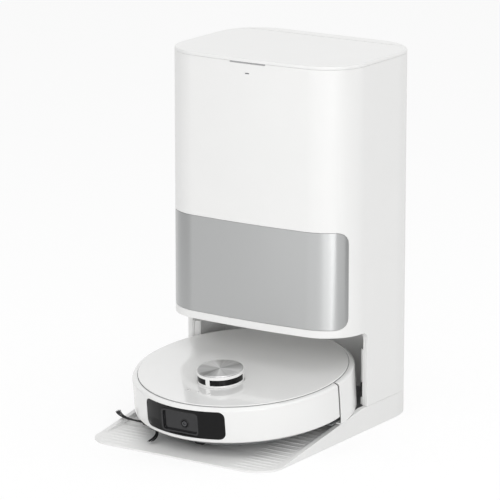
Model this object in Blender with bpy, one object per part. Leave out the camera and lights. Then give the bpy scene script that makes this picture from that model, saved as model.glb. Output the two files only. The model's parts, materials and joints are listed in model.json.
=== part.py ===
"""Robot vacuum and mop parked in its self-emptying base station.

Metres, +Z up. The frame's origin is on the floor at the centre of the station's footprint, the
station's open bay faces -Y, and +X is the viewer's right from the front. The robot's own pieces are
drawn in the robot's frame, whose origin is the point of its floor plane under its centre, and hang
on an empty that carries its place and its nose-down tilt on the ramp.
"""
import math

import bmesh
import bpy
from mathutils import Matrix, Vector

# ---- fits ------------------------------------------------------------------------------------
GAP = 0.0003            # clearance between pieces that rest on or fit into each other
SMOOTH_ANGLE = math.radians(32)

# ---- station: overall ------------------------------------------------------------------------
STATION_W = 0.340
STATION_D = 0.457
STATION_H = 0.590
TOWER_FRONT = -0.017    # y of the tower's front at its corners
TOWER_BOW = 0.006       # how far the front swells forward at its middle
FRONT_R = 0.065         # plan radii
REAR_R = 0.075
TRAY_R = 0.045
SHELL_WALL = 0.005
LINER_WALL = 0.0032
FAR = 0.4               # reach of a cutter that runs right out of the station

# ---- station: bay and tray -------------------------------------------------------------------
BAY_TOP = 0.1606
BAY_OPEN_Y = 0.063      # the bay is open at the sides in front of this
BAY_BACK_Y = 0.160
BAY_CORNER_R = 0.014
SEAM_Z = 0.0385         # top of the tray's side walls, where the tower stands on it
PLATE_T = 0.003         # the tray's thin front plate
SILL_SLOPE = 0.155      # rise of the side walls' top edge towards the tower
SILL_END_Y = 0.0465
BASIN_Y = 0.064         # wash basin under the mop pads
BASIN_BACK_Y = 0.158
BASIN_Z = 0.020
RAMP_CLEARANCE = 0.0005
WASHBOARD_HALF_W = 0.150
FOOT_W = 0.012
FOOT_T = 0.0015
FOOT_X = 0.120

# ---- station: panel, lid, slot, light --------------------------------------------------------
PANEL_Z0 = 0.173
PANEL_Z1 = 0.3285
PANEL_END_Y = 0.0175
PANEL_CORNER_R = 0.018
PANEL_T = 0.003
PANEL_LIP = 0.020       # rebate that carries the panel round the compartment's window
WINDOW_HALF_W = 0.120
LID_T = 0.0054
LID_EDGE_R = 0.0026
HINGE_Y = 0.1995
HINGE_PIN_R = 0.0011
HINGE_BORE_R = 0.0014
HINGE_EAR_W = 0.008
HINGE_SWING = 0.0006    # room for the lid's notch to swing up past the ear
FINGER_SLOT_W = 0.066
FINGER_SLOT_H = 0.0022
FINGER_SLOT_DEPTH = 0.003
LIGHT_W = 0.007
LIGHT_H = 0.0012
LIGHT_Z = 0.567
INLET_X = 0.100
INLET_Z = 0.075
INLET_W = 0.024
INLET_H = 0.014
VENT_COUNT = 7
VENT_W = 0.080
VENT_H = 0.0026
VENT_PITCH = 0.0062
VENT_Z = 0.200

# ---- station: inside -------------------------------------------------------------------------
DECK_Z = 0.336
DECK_T = 0.004
TANK_INSET = 0.0065
TANK_WALL = 0.0025
TANK_TOP = 0.548
TANK_BACK_Y = 0.192
TANK_LID_T = 0.008
HANDLE_W = 0.090
HANDLE_D = 0.016
HANDLE_H = 0.021
HANDLE_GRIP_T = 0.006
DUST_BOX_HALF_W = 0.118
DUST_BOX_Y0 = -0.004
DUST_BOX_Y1 = 0.112
DUST_BOX_TOP = 0.330
DUST_BOX_WALL = 0.0025
BAG_SPACE = 0.004
MOTOR_Y = 0.170
MOTOR_R = 0.036
MOTOR_H = 0.055
MOTOR_SHAFT_R = 0.004
IMPELLER_R = 0.044
IMPELLER_H = 0.018
IMPELLER_BLADES = 7
BOARD_X = -0.100
BOARD_T = 0.0016

# ---- robot: overall --------------------------------------------------------------------------
ROBOT_Y = -0.02405      # where the robot's frame stands in the station
ROBOT_Z = 0.0178
ROBOT_TILT = math.radians(6.7)
ROBOT_R = 0.175
SKIN_T = 0.0022
FLOOR_GAP = 0.012       # underside of the chassis above the floor plane
CHASSIS_T = 0.0025
CHASSIS_R = 0.1635
NOSE_R = 0.147          # the chassis is flat inside this, and its front rim slopes up outside it
NOSE_RISE = 0.0095
NOSE_HALF_ANGLE = 88.0
SHELL_SHOULDER_Z = 0.0775
RIM_Z = 0.0822          # flat rim that runs in under the cover
RIM_INNER_R = 0.163
RIM_BREAK_R = 0.1693
RIM_T = 0.0018
BUMPER_BOTTOM_Z = 0.026
BUMPER_TRAVEL = 0.003
BUMPER_HALF_ANGLE = 90.0
SHELL_START_ANGLE = 91.6
COVER_R = 0.166
COVER_Z = 0.0844
COVER_T = 0.0016
DECK_R = 0.158
DECK_PLATE_Z = 0.077
DECK_PLATE_T = 0.0025
DECK_WALL_R = 0.155

# ---- robot: camera, turret, buttons ----------------------------------------------------------
WINDOW_X0 = -0.0780
WINDOW_X1 = 0.0694
WINDOW_Z0 = 0.032
WINDOW_Z1 = 0.077
WINDOW_R = 0.010
WINDOW_T = 0.0026
BLOCK_X0 = -0.0405
BLOCK_X1 = 0.0274
BLOCK_Z0 = 0.0345
BLOCK_Z1 = 0.0715
BLOCK_R = 0.0065
BLOCK_FRAME = 0.003
BLOCK_DEPTH = 0.011
BLOCK_RECESS = 0.004
LENS_X = 0.0
LENS_Z = 0.050
LENS_R = 0.0055
LENS_LENGTH = 0.0025
TURRET_Y = -0.0634
TURRET_R = 0.037
TURRET_WALL = 0.002
TURRET_TOP = 0.1015
CAP_R = TURRET_R - 0.001
CAP_T = 0.0020
SLOT_Z0 = 0.0875
SLOT_Z1 = 0.0970
SLOT_ANGLES = ((6.0, 105.0), (255.0, 354.0))
HEAD_R = TURRET_R - 0.005
BUTTON_XS = {"power_button": -0.0040, "dock_button": -0.0240, "spot_button": 0.0166}
BUTTON_Y = -0.120
BUTTON_R = 0.0032
BUTTON_TRAVEL = 0.0006
BUTTON_FLANGE = 0.0012

# ---- robot: running gear and cleaning gear ---------------------------------------------------
WHEEL_X = 0.119
WHEEL_R = 0.035
WHEEL_W = 0.022
WHEEL_AXLE_R = 0.004
WHEEL_WELL = 0.0045
ARM_X = 0.0920          # middle plane of a wheel arm
ARM_T = 0.007
ARM_PIVOT_Y = 0.052
ARM_H = 0.020
PIVOT_R = 0.0035
LUG_T = 0.006
CASTER_Y = -0.121
CASTER_TRAIL = -0.005   # the robot backs in, so the wheel trails towards its nose
CASTER_R = 0.0165
CASTER_W = 0.013
CASTER_FORK_R = 0.025
CASTER_FORK_TOP = 0.038
CASTER_AXLE_R = 0.0018
BRUSH_Y = -0.052
BRUSH_Z = 0.0305
BRUSH_R = 0.0185
BRUSH_HALF_L = 0.085
BRUSH_LOBES = 6
BRUSH_TWIST = math.radians(120)
BRUSH_SHAFT_R = 0.003
GUARD_HALF_W = 0.0905
GUARD_HALF_D = 0.025
GUARD_RIM = 0.005
SIDE_BRUSH = (-0.112, -0.1072)
SIDE_HUB_R = 0.011
SIDE_SHAFT_R = 0.0025
SIDE_MOTOR_R = 0.010
BRISTLE_ANGLES = (164.4, 305.2)
BRISTLE_LENGTH = 0.0808
BRISTLE_SWEEP = math.radians(24)
MOP_X = 0.068
MOP_Y = 0.082
MOP_R = 0.062
MOP_PAD_T = 0.0055
MOP_DISC_T = 0.004
MOP_SHAFT_R = 0.005

WHITE = ("gloss white ABS", (0.86, 0.86, 0.86), 0.30, 0.0)
SATIN_WHITE = ("satin white ABS", (0.84, 0.84, 0.84), 0.45, 0.0)
SILVER = ("satin silver panel", (0.50, 0.51, 0.51), 0.38, 0.9)
SPUN = ("spun aluminium", (0.62, 0.62, 0.62), 0.28, 1.0)
BLACK_GLOSS = ("black polycarbonate", (0.010, 0.010, 0.011), 0.08, 0.0)
BLACK = ("black nylon", (0.030, 0.030, 0.032), 0.55, 0.0)
RUBBER = ("black rubber", (0.020, 0.020, 0.020), 0.80, 0.0)
GREY = ("grey ABS", (0.30, 0.31, 0.32), 0.50, 0.0)
SMOKE = ("smoked tank plastic", (0.16, 0.17, 0.18), 0.20, 0.0)
STEEL = ("turned steel", (0.55, 0.55, 0.56), 0.30, 1.0)
BOARD = ("circuit board", (0.015, 0.10, 0.05), 0.50, 0.0)
FLEECE = ("non-woven bag fleece", (0.72, 0.72, 0.70), 0.95, 0.0)
MOP_CLOTH = ("microfibre mop cloth", (0.32, 0.34, 0.36), 0.98, 0.0)
CELLS = ("battery sleeve", (0.04, 0.08, 0.20), 0.45, 0.0)


# ---- mesh helpers ----------------------------------------------------------------------------
def loft(rings, loop=False):
    """A closed body through equal rings of points, capped at its ends or joined into a loop."""
    bm = bmesh.new()
    rows = [[bm.verts.new(point) for point in ring] for ring in rings]
    count = len(rows[0])
    pairs = list(zip(rows, rows[1:]))
    if loop:
        pairs.append((rows[-1], rows[0]))
    for low, high in pairs:
        for i in range(count):
            j = (i + 1) % count
            bm.faces.new((low[i], low[j], high[j], high[i]))
    if not loop:
        bm.faces.new(rows[0])
        bm.faces.new(rows[-1])
    bmesh.ops.recalc_face_normals(bm, faces=bm.faces)
    return bm


def prism(outline, z0, z1):
    """An upright prism over a plan outline."""
    return loft([[(x, y, z) for x, y in outline] for z in (z0, z1)])


def prism_x(outline, x0, x1):
    """A prism along X over an outline in Y and Z."""
    return loft([[(x, y, z) for y, z in outline] for x in (x0, x1)])


def prism_y(outline, y0, y1):
    """A prism along Y over an outline in X and Z."""
    return loft([[(x, y, z) for x, z in outline] for y in (y0, y1)])


def box(x, y, z):
    """A box between two values on each axis."""
    return prism([(x[0], y[0]), (x[1], y[0]), (x[1], y[1]), (x[0], y[1])], z[0], z[1])


def arc(centre, radius, start, end, count):
    """Points of an arc, angles in degrees anticlockwise from the first axis."""
    angles = [math.radians(start + (end - start) * i / count) for i in range(count + 1)]
    return [(centre[0] + radius * math.cos(a), centre[1] + radius * math.sin(a)) for a in angles]


def rounded(u, v, radius, count=5):
    """A rectangle with rounded corners between two values on each axis."""
    corners = ((u[1], v[0], 270), (u[1], v[1], 0), (u[0], v[1], 90), (u[0], v[0], 180))
    points = []
    for cu, cv, start in corners:
        centre = (cu - math.copysign(radius, cu - sum(u) / 2), cv - math.copysign(radius, cv - sum(v) / 2))
        points += arc(centre, radius, start, start + 90, count)
    return points


def turned(profile, count, centre=(0.0, 0.0)):
    """A turned solid: circles at each (radius, z) of the profile, capped at both ends."""
    return loft([[(x, y, z) for x, y in arc(centre, r, 0, 360 - 360 / count, count - 1)] for r, z in profile])


def turned_ring(profile, count, centre=(0.0, 0.0), angles=None):
    """A ring turned from a closed (radius, z) profile; angles in degrees from -Y towards +X."""
    start, end = angles or (0.0, 360.0)
    steps = count if angles is None else count + 1
    rings = []
    for i in range(steps):
        a = math.radians(start + (end - start) * i / count)
        rings.append([(centre[0] + r * math.sin(a), centre[1] - r * math.cos(a), z) for r, z in profile])
    return loft(rings, loop=angles is None)


def rod(start, end, radius, count=14):
    """A straight round bar from one point to another."""
    axis = Vector(end) - Vector(start)
    bm = turned([(radius, 0.0), (radius, axis.length)], count)
    turn = Vector((0, 0, 1)).rotation_difference(axis.normalized()).to_matrix().to_4x4()
    bm.transform(Matrix.Translation(start) @ turn)
    return bm


def x_turned(profile, count, centre):
    """A solid turned about a line along X: circles at each (radius, x) of the profile."""
    bm = turned(profile, count)
    bm.transform(Matrix.Translation(centre) @ Matrix.Rotation(math.pi / 2, 4, "Y"))
    return bm


# ---- object helpers --------------------------------------------------------------------------
def finish_material(finish):
    """The Principled material of a finish, made once."""
    name, colour, roughness, metallic = finish
    found = bpy.data.materials.get(name)
    if found:
        return found
    made = bpy.data.materials.new(name)
    made.use_nodes = True
    shader = made.node_tree.nodes["Principled BSDF"]
    shader.inputs["Base Color"].default_value = (*colour, 1.0)
    shader.inputs["Roughness"].default_value = roughness
    shader.inputs["Metallic"].default_value = metallic
    return made


def add(name, bm, finish=None, parent=None, origin=(0.0, 0.0, 0.0)):
    """Link a mesh drawn in its parent's frame, with its origin at the given point of that frame."""
    bm.transform(Matrix.Translation(-Vector(origin)))
    mesh = bpy.data.meshes.new(name)
    bm.to_mesh(mesh)
    bm.free()
    mesh.shade_smooth()
    mesh.set_sharp_from_angle(angle=SMOOTH_ANGLE)
    made = bpy.data.objects.new(name, mesh)
    bpy.context.scene.collection.objects.link(made)
    made.parent = parent
    made.location = origin
    if finish:
        mesh.materials.append(finish_material(finish))
    return made


def cutter(name, bm, parent=None):
    """A hidden helper for a Boolean, which isn't part of the object."""
    made = add(name, bm, parent=parent)
    made.hide_render = True
    made.display_type = "WIRE"
    return made


def boolean(target, helper, operation="DIFFERENCE"):
    """Cut, join or keep a target's shape with a helper's."""
    step = target.modifiers.new(helper.name, "BOOLEAN")
    step.solver = "EXACT"
    step.operation = operation
    step.object = helper


def shape(target, *steps):
    """Apply (operation, name, mesh) steps in order, in the target's own parent's frame."""
    for operation, name, bm in steps:
        boolean(target, cutter(f"{target.name}_{name}", bm, target.parent), operation)
    return target


CUT, JOIN, KEEP = "DIFFERENCE", "UNION", "INTERSECT"


# ---- station outlines ------------------------------------------------------------------------
def tower_outline(inset=0.0, count=8):
    """The tower's plan outline, moved inwards by an inset."""
    half, back = STATION_W / 2, STATION_D / 2
    front = TOWER_FRONT + FRONT_R
    points = [((half - FRONT_R) * (2 * i / count - 1), TOWER_FRONT + inset) for i in range(1, count)]
    points += arc((half - FRONT_R, front), FRONT_R - inset, -90, 0, count)
    points += arc((half - REAR_R, back - REAR_R), REAR_R - inset, 0, 90, count)
    points += arc((REAR_R - half, back - REAR_R), REAR_R - inset, 90, 180, count)
    points += arc((FRONT_R - half, front), FRONT_R - inset, 180, 270, count)
    bowed = []
    for x, y in points:
        swell = TOWER_BOW * (1 - min(1.0, abs(x) / (half - inset)) ** 2) ** 2 if y < front else 0.0
        bowed.append((x, y - swell))
    return bowed


def tower_front(x, inset=0.0):
    """y of the tower's flat front at x, without its corner radii."""
    return TOWER_FRONT + inset - TOWER_BOW * (1 - (2 * x / STATION_W) ** 2) ** 2


def robot_floor(y):
    """World z of the robot's floor plane at world y."""
    return ROBOT_Z + (y - ROBOT_Y) * math.tan(ROBOT_TILT)


def tower_ring(outer, inner, z0, z1):
    """The wall between two insets of the tower's outline."""
    outside, inside = tower_outline(outer), tower_outline(inner)
    return loft([[(x, y, z) for x, y in ring] for ring, z in
                 ((outside, z0), (outside, z1), (inside, z1), (inside, z0))], loop=True)


def bay_front():
    """The open space in front of the bay, through both sides, with its rounded upper rear corner."""
    corner = (BAY_OPEN_Y - BAY_CORNER_R, BAY_TOP - BAY_CORNER_R)
    side = [(-FAR, -FAR), (BAY_OPEN_Y, -FAR)] + arc(corner, BAY_CORNER_R, 0, 90, 6) + [(-FAR, BAY_TOP)]
    return prism_x(side, -FAR, FAR)


def panel_block(grow=0.0):
    """The space that the front panel covers, seen from the side, grown by a clearance."""
    z = (PANEL_Z0 - grow, PANEL_Z1 + grow)
    y = PANEL_END_Y + grow
    radius = PANEL_CORNER_R + grow
    side = [(-FAR, z[0])] + arc((y - radius, z[0] + radius), radius, 270, 360, 5)
    side += arc((y - radius, z[1] - radius), radius, 0, 90, 5) + [(-FAR, z[1])]
    return prism_x(side, -FAR, FAR)


# ---- station ---------------------------------------------------------------------------------
def build_tray():
    """The tray: thin front plate, ramp, wash basin and side walls, its feet and the washboard."""
    tilt = math.tan(ROBOT_TILT)
    ramp_start = ROBOT_Y + (PLATE_T + RAMP_CLEARANCE - ROBOT_Z) / tilt
    ramp_end_z = robot_floor(BASIN_Y) - RAMP_CLEARANCE
    side = [(-FAR, -FAR), (-FAR, PLATE_T), (ramp_start, PLATE_T), (BASIN_Y, ramp_end_z),
            (BASIN_Y, BASIN_Z), (BASIN_BACK_Y, BASIN_Z), (BASIN_BACK_Y, SEAM_Z), (FAR, SEAM_Z), (FAR, -FAR)]
    sill_start = SILL_END_Y - SEAM_Z / SILL_SLOPE
    sill = [(sill_start - FAR, -FAR * SILL_SLOPE), (FAR, -FAR), (FAR, SEAM_Z), (SILL_END_Y, SEAM_Z)]
    inner = STATION_W / 2 - SHELL_WALL - GAP - LINER_WALL
    half, deep = STATION_W / 2, STATION_D / 2
    outline = arc((half - TRAY_R, TRAY_R - deep), TRAY_R, -90, 0, 8)
    outline += arc((half - REAR_R, deep - REAR_R), REAR_R, 0, 90, 8)
    outline += [(-x, y) for x, y in reversed(outline)]
    tray = add("base_tray", prism_x(side, -FAR, FAR), SATIN_WHITE)
    steps = [(JOIN, "right_wall", prism_x(sill, inner, FAR)),
             (JOIN, "left_wall", prism_x(sill, -FAR, -inner)),
             (KEEP, "footprint", prism(outline, 0.0, FAR))]
    foot_y = (ramp_start + 0.020, BASIN_BACK_Y + 0.030)
    for side_name, x in (("left", -FOOT_X), ("right", FOOT_X)):
        grown = FOOT_W / 2 + GAP
        seat = box((x - grown, x + grown), (foot_y[0] - GAP, foot_y[1] + GAP), (-FAR, FOOT_T + GAP))
        steps.append((CUT, f"{side_name}_foot_seat", seat))
        strip = box((x - FOOT_W / 2, x + FOOT_W / 2), foot_y, (0.0, FOOT_T))
        add(f"foot_strip_{side_name}", strip, RUBBER)
    shape(tray, *steps)

    board_y = (BASIN_Y + 0.002, BASIN_BACK_Y - 0.002)
    top = [robot_floor(y) - 2 * RAMP_CLEARANCE for y in board_y]
    wedge = [(board_y[0], BASIN_Z + GAP), (board_y[1], BASIN_Z + GAP), (board_y[1], top[1]),
             (board_y[0], top[0])]
    add("washboard", prism_x(wedge, -WASHBOARD_HALF_W, WASHBOARD_HALF_W), GREY)


def build_tower():
    """The outer shell, the bay's inner walls and ceiling, and the panel that covers the dust bag."""
    shell_top = STATION_H - LID_T - GAP
    shell = add("tower_shell", tower_ring(0.0, SHELL_WALL, SEAM_Z + GAP, shell_top), WHITE)
    recess = cutter("panel_recess", tower_ring(-0.002, PANEL_T + GAP, PANEL_Z0 - 0.01, PANEL_Z1 + 0.01))
    boolean(recess, cutter("panel_recess_side", panel_block(GAP)), KEEP)
    slot_y = tower_front(0.0)
    slot = box((-FINGER_SLOT_W / 2, FINGER_SLOT_W / 2), (slot_y - 0.01, slot_y + FINGER_SLOT_DEPTH),
               (shell_top - FINGER_SLOT_H, shell_top + FAR))
    window = box((-WINDOW_HALF_W, WINDOW_HALF_W), (-FAR, BAY_OPEN_Y),
                 (PANEL_Z0 + PANEL_LIP, PANEL_Z1 - PANEL_LIP))
    light = rounded((-LIGHT_W / 2 - GAP, LIGHT_W / 2 + GAP), (LIGHT_Z - LIGHT_H / 2 - GAP,
                    LIGHT_Z + LIGHT_H / 2 + GAP), LIGHT_H / 2, 3)
    inlet = rounded((INLET_X - INLET_W / 2, INLET_X + INLET_W / 2),
                    (INLET_Z - INLET_H / 2, INLET_Z + INLET_H / 2), 0.003, 3)
    back = STATION_D / 2 - SHELL_WALL - 0.006
    boolean(shell, recess)
    shape(shell, (CUT, "bay", bay_front()), (CUT, "window", window), (CUT, "finger_slot", slot),
          (CUT, "light_hole", prism_y(light, -FAR, BAY_OPEN_Y)), (CUT, "inlet_hole", prism_y(inlet, back, FAR)))
    for i in range(VENT_COUNT):
        z = VENT_Z + i * VENT_PITCH
        vent = box((-VENT_W / 2, VENT_W / 2), (back, FAR), (z, z + VENT_H))
        shape(shell, (CUT, f"vent_{i}", vent))

    liner_top = BAY_TOP + LINER_WALL
    liner = add("bay_liner", prism(tower_outline(SHELL_WALL + GAP), SEAM_Z + GAP, liner_top), WHITE)
    inner = STATION_W / 2 - SHELL_WALL - GAP - LINER_WALL
    shape(liner, (CUT, "bay", bay_front()),
          (CUT, "inside", box((-inner, inner), (-FAR, BAY_BACK_Y), (-FAR, BAY_TOP))),
          (CUT, "rear_space", box((-FAR, FAR), (BAY_BACK_Y + LINER_WALL, FAR), (-FAR, BAY_TOP))))

    panel = add("front_panel", tower_ring(0.0, PANEL_T, PANEL_Z0 - 0.01, PANEL_Z1 + 0.01), SILVER)
    boolean(panel, cutter("front_panel_side", panel_block()), KEEP)

    light_y = tower_front(0.0)
    lens = rounded((-LIGHT_W / 2, LIGHT_W / 2), (LIGHT_Z - LIGHT_H / 2, LIGHT_Z + LIGHT_H / 2),
                   LIGHT_H / 2 - 0.0001, 3)
    add("status_light", prism_y(lens, light_y + GAP, light_y + SHELL_WALL), GREY)
    plug = rounded((INLET_X - INLET_W / 2 + GAP, INLET_X + INLET_W / 2 - GAP),
                   (INLET_Z - INLET_H / 2 + GAP, INLET_Z + INLET_H / 2 - GAP), 0.0027, 3)
    outer = STATION_D / 2
    inlet_body = add("power_inlet", prism_y(plug, outer - 0.022, outer - 0.0005), BLACK)
    socket = rounded((INLET_X - INLET_W / 2 + 0.0025, INLET_X + INLET_W / 2 - 0.0025),
                     (INLET_Z - INLET_H / 2 + 0.0025, INLET_Z + INLET_H / 2 - 0.0025), 0.003, 3)
    shape(inlet_body, (CUT, "socket", prism_y(socket, outer - 0.015, FAR)))


def build_guides():
    """The fins and hooks that centre the robot, and the sprung contact blocks between them."""
    wall = STATION_W / 2 - SHELL_WALL - GAP - LINER_WALL - GAP
    plate_x = wall - 0.0016
    for side_name, s in (("left", -1), ("right", 1)):
        plate = box(sorted((s * plate_x, s * wall)), (0.0640, 0.0800), (SEAM_Z + GAP, 0.130))
        fin = [(s * wall, 0.0652), (s * 0.1535, 0.0700), (s * 0.1520, 0.0735), (s * 0.1535, 0.0770),
               (s * wall, 0.0790)]
        hook = [(s * wall, 0.0645), (s * 0.1545, 0.0675), (s * 0.1545, 0.0710), (s * wall, 0.0795)]
        guide = add(f"side_guide_{side_name}", plate, WHITE)
        shape(guide, (JOIN, "fin", prism(fin, 0.0750, 0.1290)),
              (JOIN, "hook", prism(hook, SEAM_Z + 2 * GAP, 0.0510)))
        block_x = sorted((s * 0.1545, s * (plate_x - GAP)))
        block = prism(rounded(block_x, (0.0660, 0.0780), 0.002, 3), 0.0516, 0.0744)
        add(f"contact_block_{side_name}", block, BLACK)


def build_top():
    """The hinged lid, the fixed strip behind it and the pin that joins them."""
    z0, z1 = STATION_H - LID_T, STATION_H
    levels = ((0.0, z0), (0.0, z1 - LID_EDGE_R), (LID_EDGE_R * 0.29, z1 - LID_EDGE_R * 0.29),
              (LID_EDGE_R, z1))

    def plate():
        return loft([[(x, y, z) for x, y in tower_outline(inset)] for inset, z in levels])

    axis_z = (z0 + z1) / 2
    radius = LID_T / 2
    ear_x = STATION_W / 2 - 0.026
    nose = [(-FAR, z0 - FAR), (HINGE_Y, z0 - FAR)] + arc((HINGE_Y, axis_z), radius, -90, 90, 8)
    nose += [(HINGE_Y, z1 + FAR), (-FAR, z1 + FAR)]
    lid = add("top_lid", plate(), WHITE, origin=(0.0, HINGE_Y, axis_z))
    shape(lid, (KEEP, "hinge_edge", prism_x(nose, -FAR, FAR)))
    for side_name, s in (("left", -1), ("right", 1)):
        notch_y = HINGE_Y - HINGE_EAR_W - HINGE_SWING
        notch = box(sorted((s * ear_x, s * FAR)), (notch_y, FAR), (z0 - FAR, z1 + FAR))
        shape(lid, (CUT, f"{side_name}_ear_notch", notch))
    bore = rod((-ear_x - 0.01, HINGE_Y, axis_z), (ear_x + 0.01, HINGE_Y, axis_z), HINGE_BORE_R)
    shape(lid, (CUT, "pin_bore", bore))

    trim = add("rear_top_trim", plate(), WHITE)
    front = HINGE_Y + radius + GAP
    keep = [(-ear_x - GAP, front), (ear_x + GAP, front), (ear_x + GAP, HINGE_Y - HINGE_EAR_W + GAP),
            (FAR, HINGE_Y - HINGE_EAR_W + GAP), (FAR, FAR), (-FAR, FAR),
            (-FAR, HINGE_Y - HINGE_EAR_W + GAP), (-ear_x - GAP, HINGE_Y - HINGE_EAR_W + GAP)]
    pin_half = ear_x + 0.004
    shape(trim, (KEEP, "rear", prism(keep, z0 - FAR, z1 + FAR)),
          (CUT, "pin_bore", rod((-pin_half - GAP, HINGE_Y, axis_z), (pin_half + GAP, HINGE_Y, axis_z),
                                HINGE_BORE_R)))
    add("lid_hinge_pin", rod((-pin_half, HINGE_Y, axis_z), (pin_half, HINGE_Y, axis_z), HINGE_PIN_R, 12),
        STEEL)


def build_tanks():
    """The deck over the dust compartment, and the clean and dirty water tanks with their lids."""
    add("tank_deck", prism(tower_outline(SHELL_WALL + GAP), DECK_Z, DECK_Z + DECK_T), GREY)
    bottom = DECK_Z + DECK_T + GAP
    for name, s, finish in (("dirty_tank", -1, SMOKE), ("clean_tank", 1, SMOKE)):
        half = box(sorted((s * 0.0015, s * FAR)), (-FAR, TANK_BACK_Y), (-FAR, 1.0))
        tank = add(name, prism(tower_outline(TANK_INSET), bottom, TANK_TOP), finish)
        hollow = cutter(f"{name}_hollow",
                        prism(tower_outline(TANK_INSET + TANK_WALL), bottom + TANK_WALL, TANK_TOP + FAR))
        room = box(sorted((s * (0.0015 + TANK_WALL), s * FAR)), (-FAR, TANK_BACK_Y - TANK_WALL), (-FAR, 1.0))
        boolean(hollow, cutter(f"{name}_room", room), KEEP)
        shape(tank, (KEEP, "half", half))
        boolean(tank, hollow)
        z0 = TANK_TOP + GAP
        lid = add(f"{name}_lid", prism(tower_outline(TANK_INSET), z0, z0 + TANK_LID_T), finish)
        x, y = s * STATION_W / 4, TANK_BACK_Y / 2
        grip = rounded((x - HANDLE_W / 2, x + HANDLE_W / 2), (y - HANDLE_D / 2, y + HANDLE_D / 2), 0.005, 3)
        under = box((x - HANDLE_W / 2 + HANDLE_GRIP_T, x + HANDLE_W / 2 - HANDLE_GRIP_T),
                    (y - FAR, y + FAR), (z0 + TANK_LID_T, z0 + TANK_LID_T + HANDLE_H - HANDLE_GRIP_T))
        half_lid = box(sorted((s * 0.0015, s * FAR)), (-FAR, TANK_BACK_Y), (-FAR, 1.0))
        top = z0 + TANK_LID_T + HANDLE_H
        shape(lid, (KEEP, "half", half_lid), (JOIN, "handle", prism(grip, z0 + 0.002, top)),
              (CUT, "hand_hole", under))


def build_dust_parts():
    """The dust compartment with its bag, the suction motor and impeller, and the control board."""
    floor_z = BAY_TOP + LINER_WALL + GAP
    wall = DUST_BOX_WALL
    case = add("dust_compartment", box((-DUST_BOX_HALF_W, DUST_BOX_HALF_W), (DUST_BOX_Y0, DUST_BOX_Y1),
                                       (floor_z, DUST_BOX_TOP)), GREY)
    room = box((wall - DUST_BOX_HALF_W, DUST_BOX_HALF_W - wall), (-FAR, DUST_BOX_Y1 - wall),
               (floor_z + wall, DUST_BOX_TOP - wall))
    port = rod((0.0, 0.0, 0.245), (0.0, FAR, 0.245), 0.020, 20)
    shape(case, (CUT, "room", room), (CUT, "port", port))

    bag_x = DUST_BOX_HALF_W - wall - BAG_SPACE
    bag_y = (0.004, DUST_BOX_Y1 - wall - GAP)
    levels = ((0.80, floor_z + wall + GAP), (0.96, 0.190), (1.0, 0.240), (0.96, 0.295), (0.75, 0.318))
    rings = []
    for share, z in levels:
        outline = rounded((-bag_x * share, bag_x * share),
                          (bag_y[1] - (bag_y[1] - bag_y[0]) * share, bag_y[1]), 0.022 * share, 4)
        rings.append([(x, y, z) for x, y in outline])
    add("dust_bag", loft(rings), FLEECE)

    blade_z = floor_z + MOTOR_H + 0.004
    shaft_top = blade_z + IMPELLER_H
    motor = turned([(MOTOR_R, floor_z), (MOTOR_R, floor_z + MOTOR_H), (0.012, floor_z + MOTOR_H),
                    (0.012, floor_z + MOTOR_H + 0.0015), (MOTOR_SHAFT_R, floor_z + MOTOR_H + 0.0015),
                    (MOTOR_SHAFT_R, shaft_top)], 28, (0.0, MOTOR_Y))
    add("dust_motor", motor, GREY)
    build_impeller("dust_impeller", (0.0, MOTOR_Y), blade_z, IMPELLER_R, IMPELLER_H, MOTOR_SHAFT_R)

    board = box((BOARD_X - BOARD_T / 2, BOARD_X + BOARD_T / 2), (0.125, 0.200), (floor_z, 0.280))
    add("control_board", board, BOARD)


def build_impeller(name, centre, z0, radius, height, shaft_r, parent=None):
    """A backplate with upright swept blades and a hub bored for its shaft."""
    plate_t = 0.002
    made = add(name, turned([(radius, z0), (radius, z0 + plate_t), (shaft_r * 2.2, z0 + plate_t),
                             (shaft_r * 2.2, z0 + height)], 28, centre), BLACK, parent,
               (centre[0], centre[1], z0))
    inner, outer, sweep = radius * 0.36, radius * 0.96, math.radians(38)
    for i in range(IMPELLER_BLADES):
        start = 2 * math.pi * i / IMPELLER_BLADES
        sides = ([], [])
        for k in range(4):
            r = inner + (outer - inner) * k / 3
            a = start + sweep * (k / 3) ** 1.4
            for side, half in zip(sides, (-0.0006, 0.0006)):
                side.append((centre[0] + r * math.cos(a) - half * math.sin(a),
                             centre[1] + r * math.sin(a) + half * math.cos(a)))
        blade = prism(sides[0] + sides[1][::-1], z0 + plate_t / 2, z0 + height)
        shape(made, (JOIN, f"blade_{i}", blade))
    bore = rod((centre[0], centre[1], z0 - 0.01), (centre[0], centre[1], z0 + height + 0.01), shaft_r + GAP)
    shape(made, (CUT, "bore", bore))
    return made


# ---- robot: body -----------------------------------------------------------------------------
def skin_profile(bottom, lip_inner):
    """The side skin in (radius, z): outside up, in under the cover, and back down the inside."""
    return [(lip_inner, bottom), (ROBOT_R - 0.0015, bottom), (ROBOT_R, bottom + 0.0020),
            (ROBOT_R, SHELL_SHOULDER_Z), (ROBOT_R - 0.0012, SHELL_SHOULDER_Z + 0.0024),
            (RIM_BREAK_R, RIM_Z), (RIM_INNER_R, RIM_Z), (RIM_INNER_R, RIM_Z - RIM_T),
            (RIM_BREAK_R - 0.0008, RIM_Z - RIM_T), (ROBOT_R - SKIN_T, SHELL_SHOULDER_Z),
            (ROBOT_R - SKIN_T, bottom + SKIN_T), (lip_inner, bottom + SKIN_T)]


def window_block(grow, y0, y1):
    """The camera window's outline on the bumper, pushed through it along Y."""
    outline = rounded((WINDOW_X0 - grow, WINDOW_X1 + grow), (WINDOW_Z0 - grow, WINDOW_Z1 + grow),
                      WINDOW_R + grow, 6)
    return prism_y(outline, y0, y1)


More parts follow.
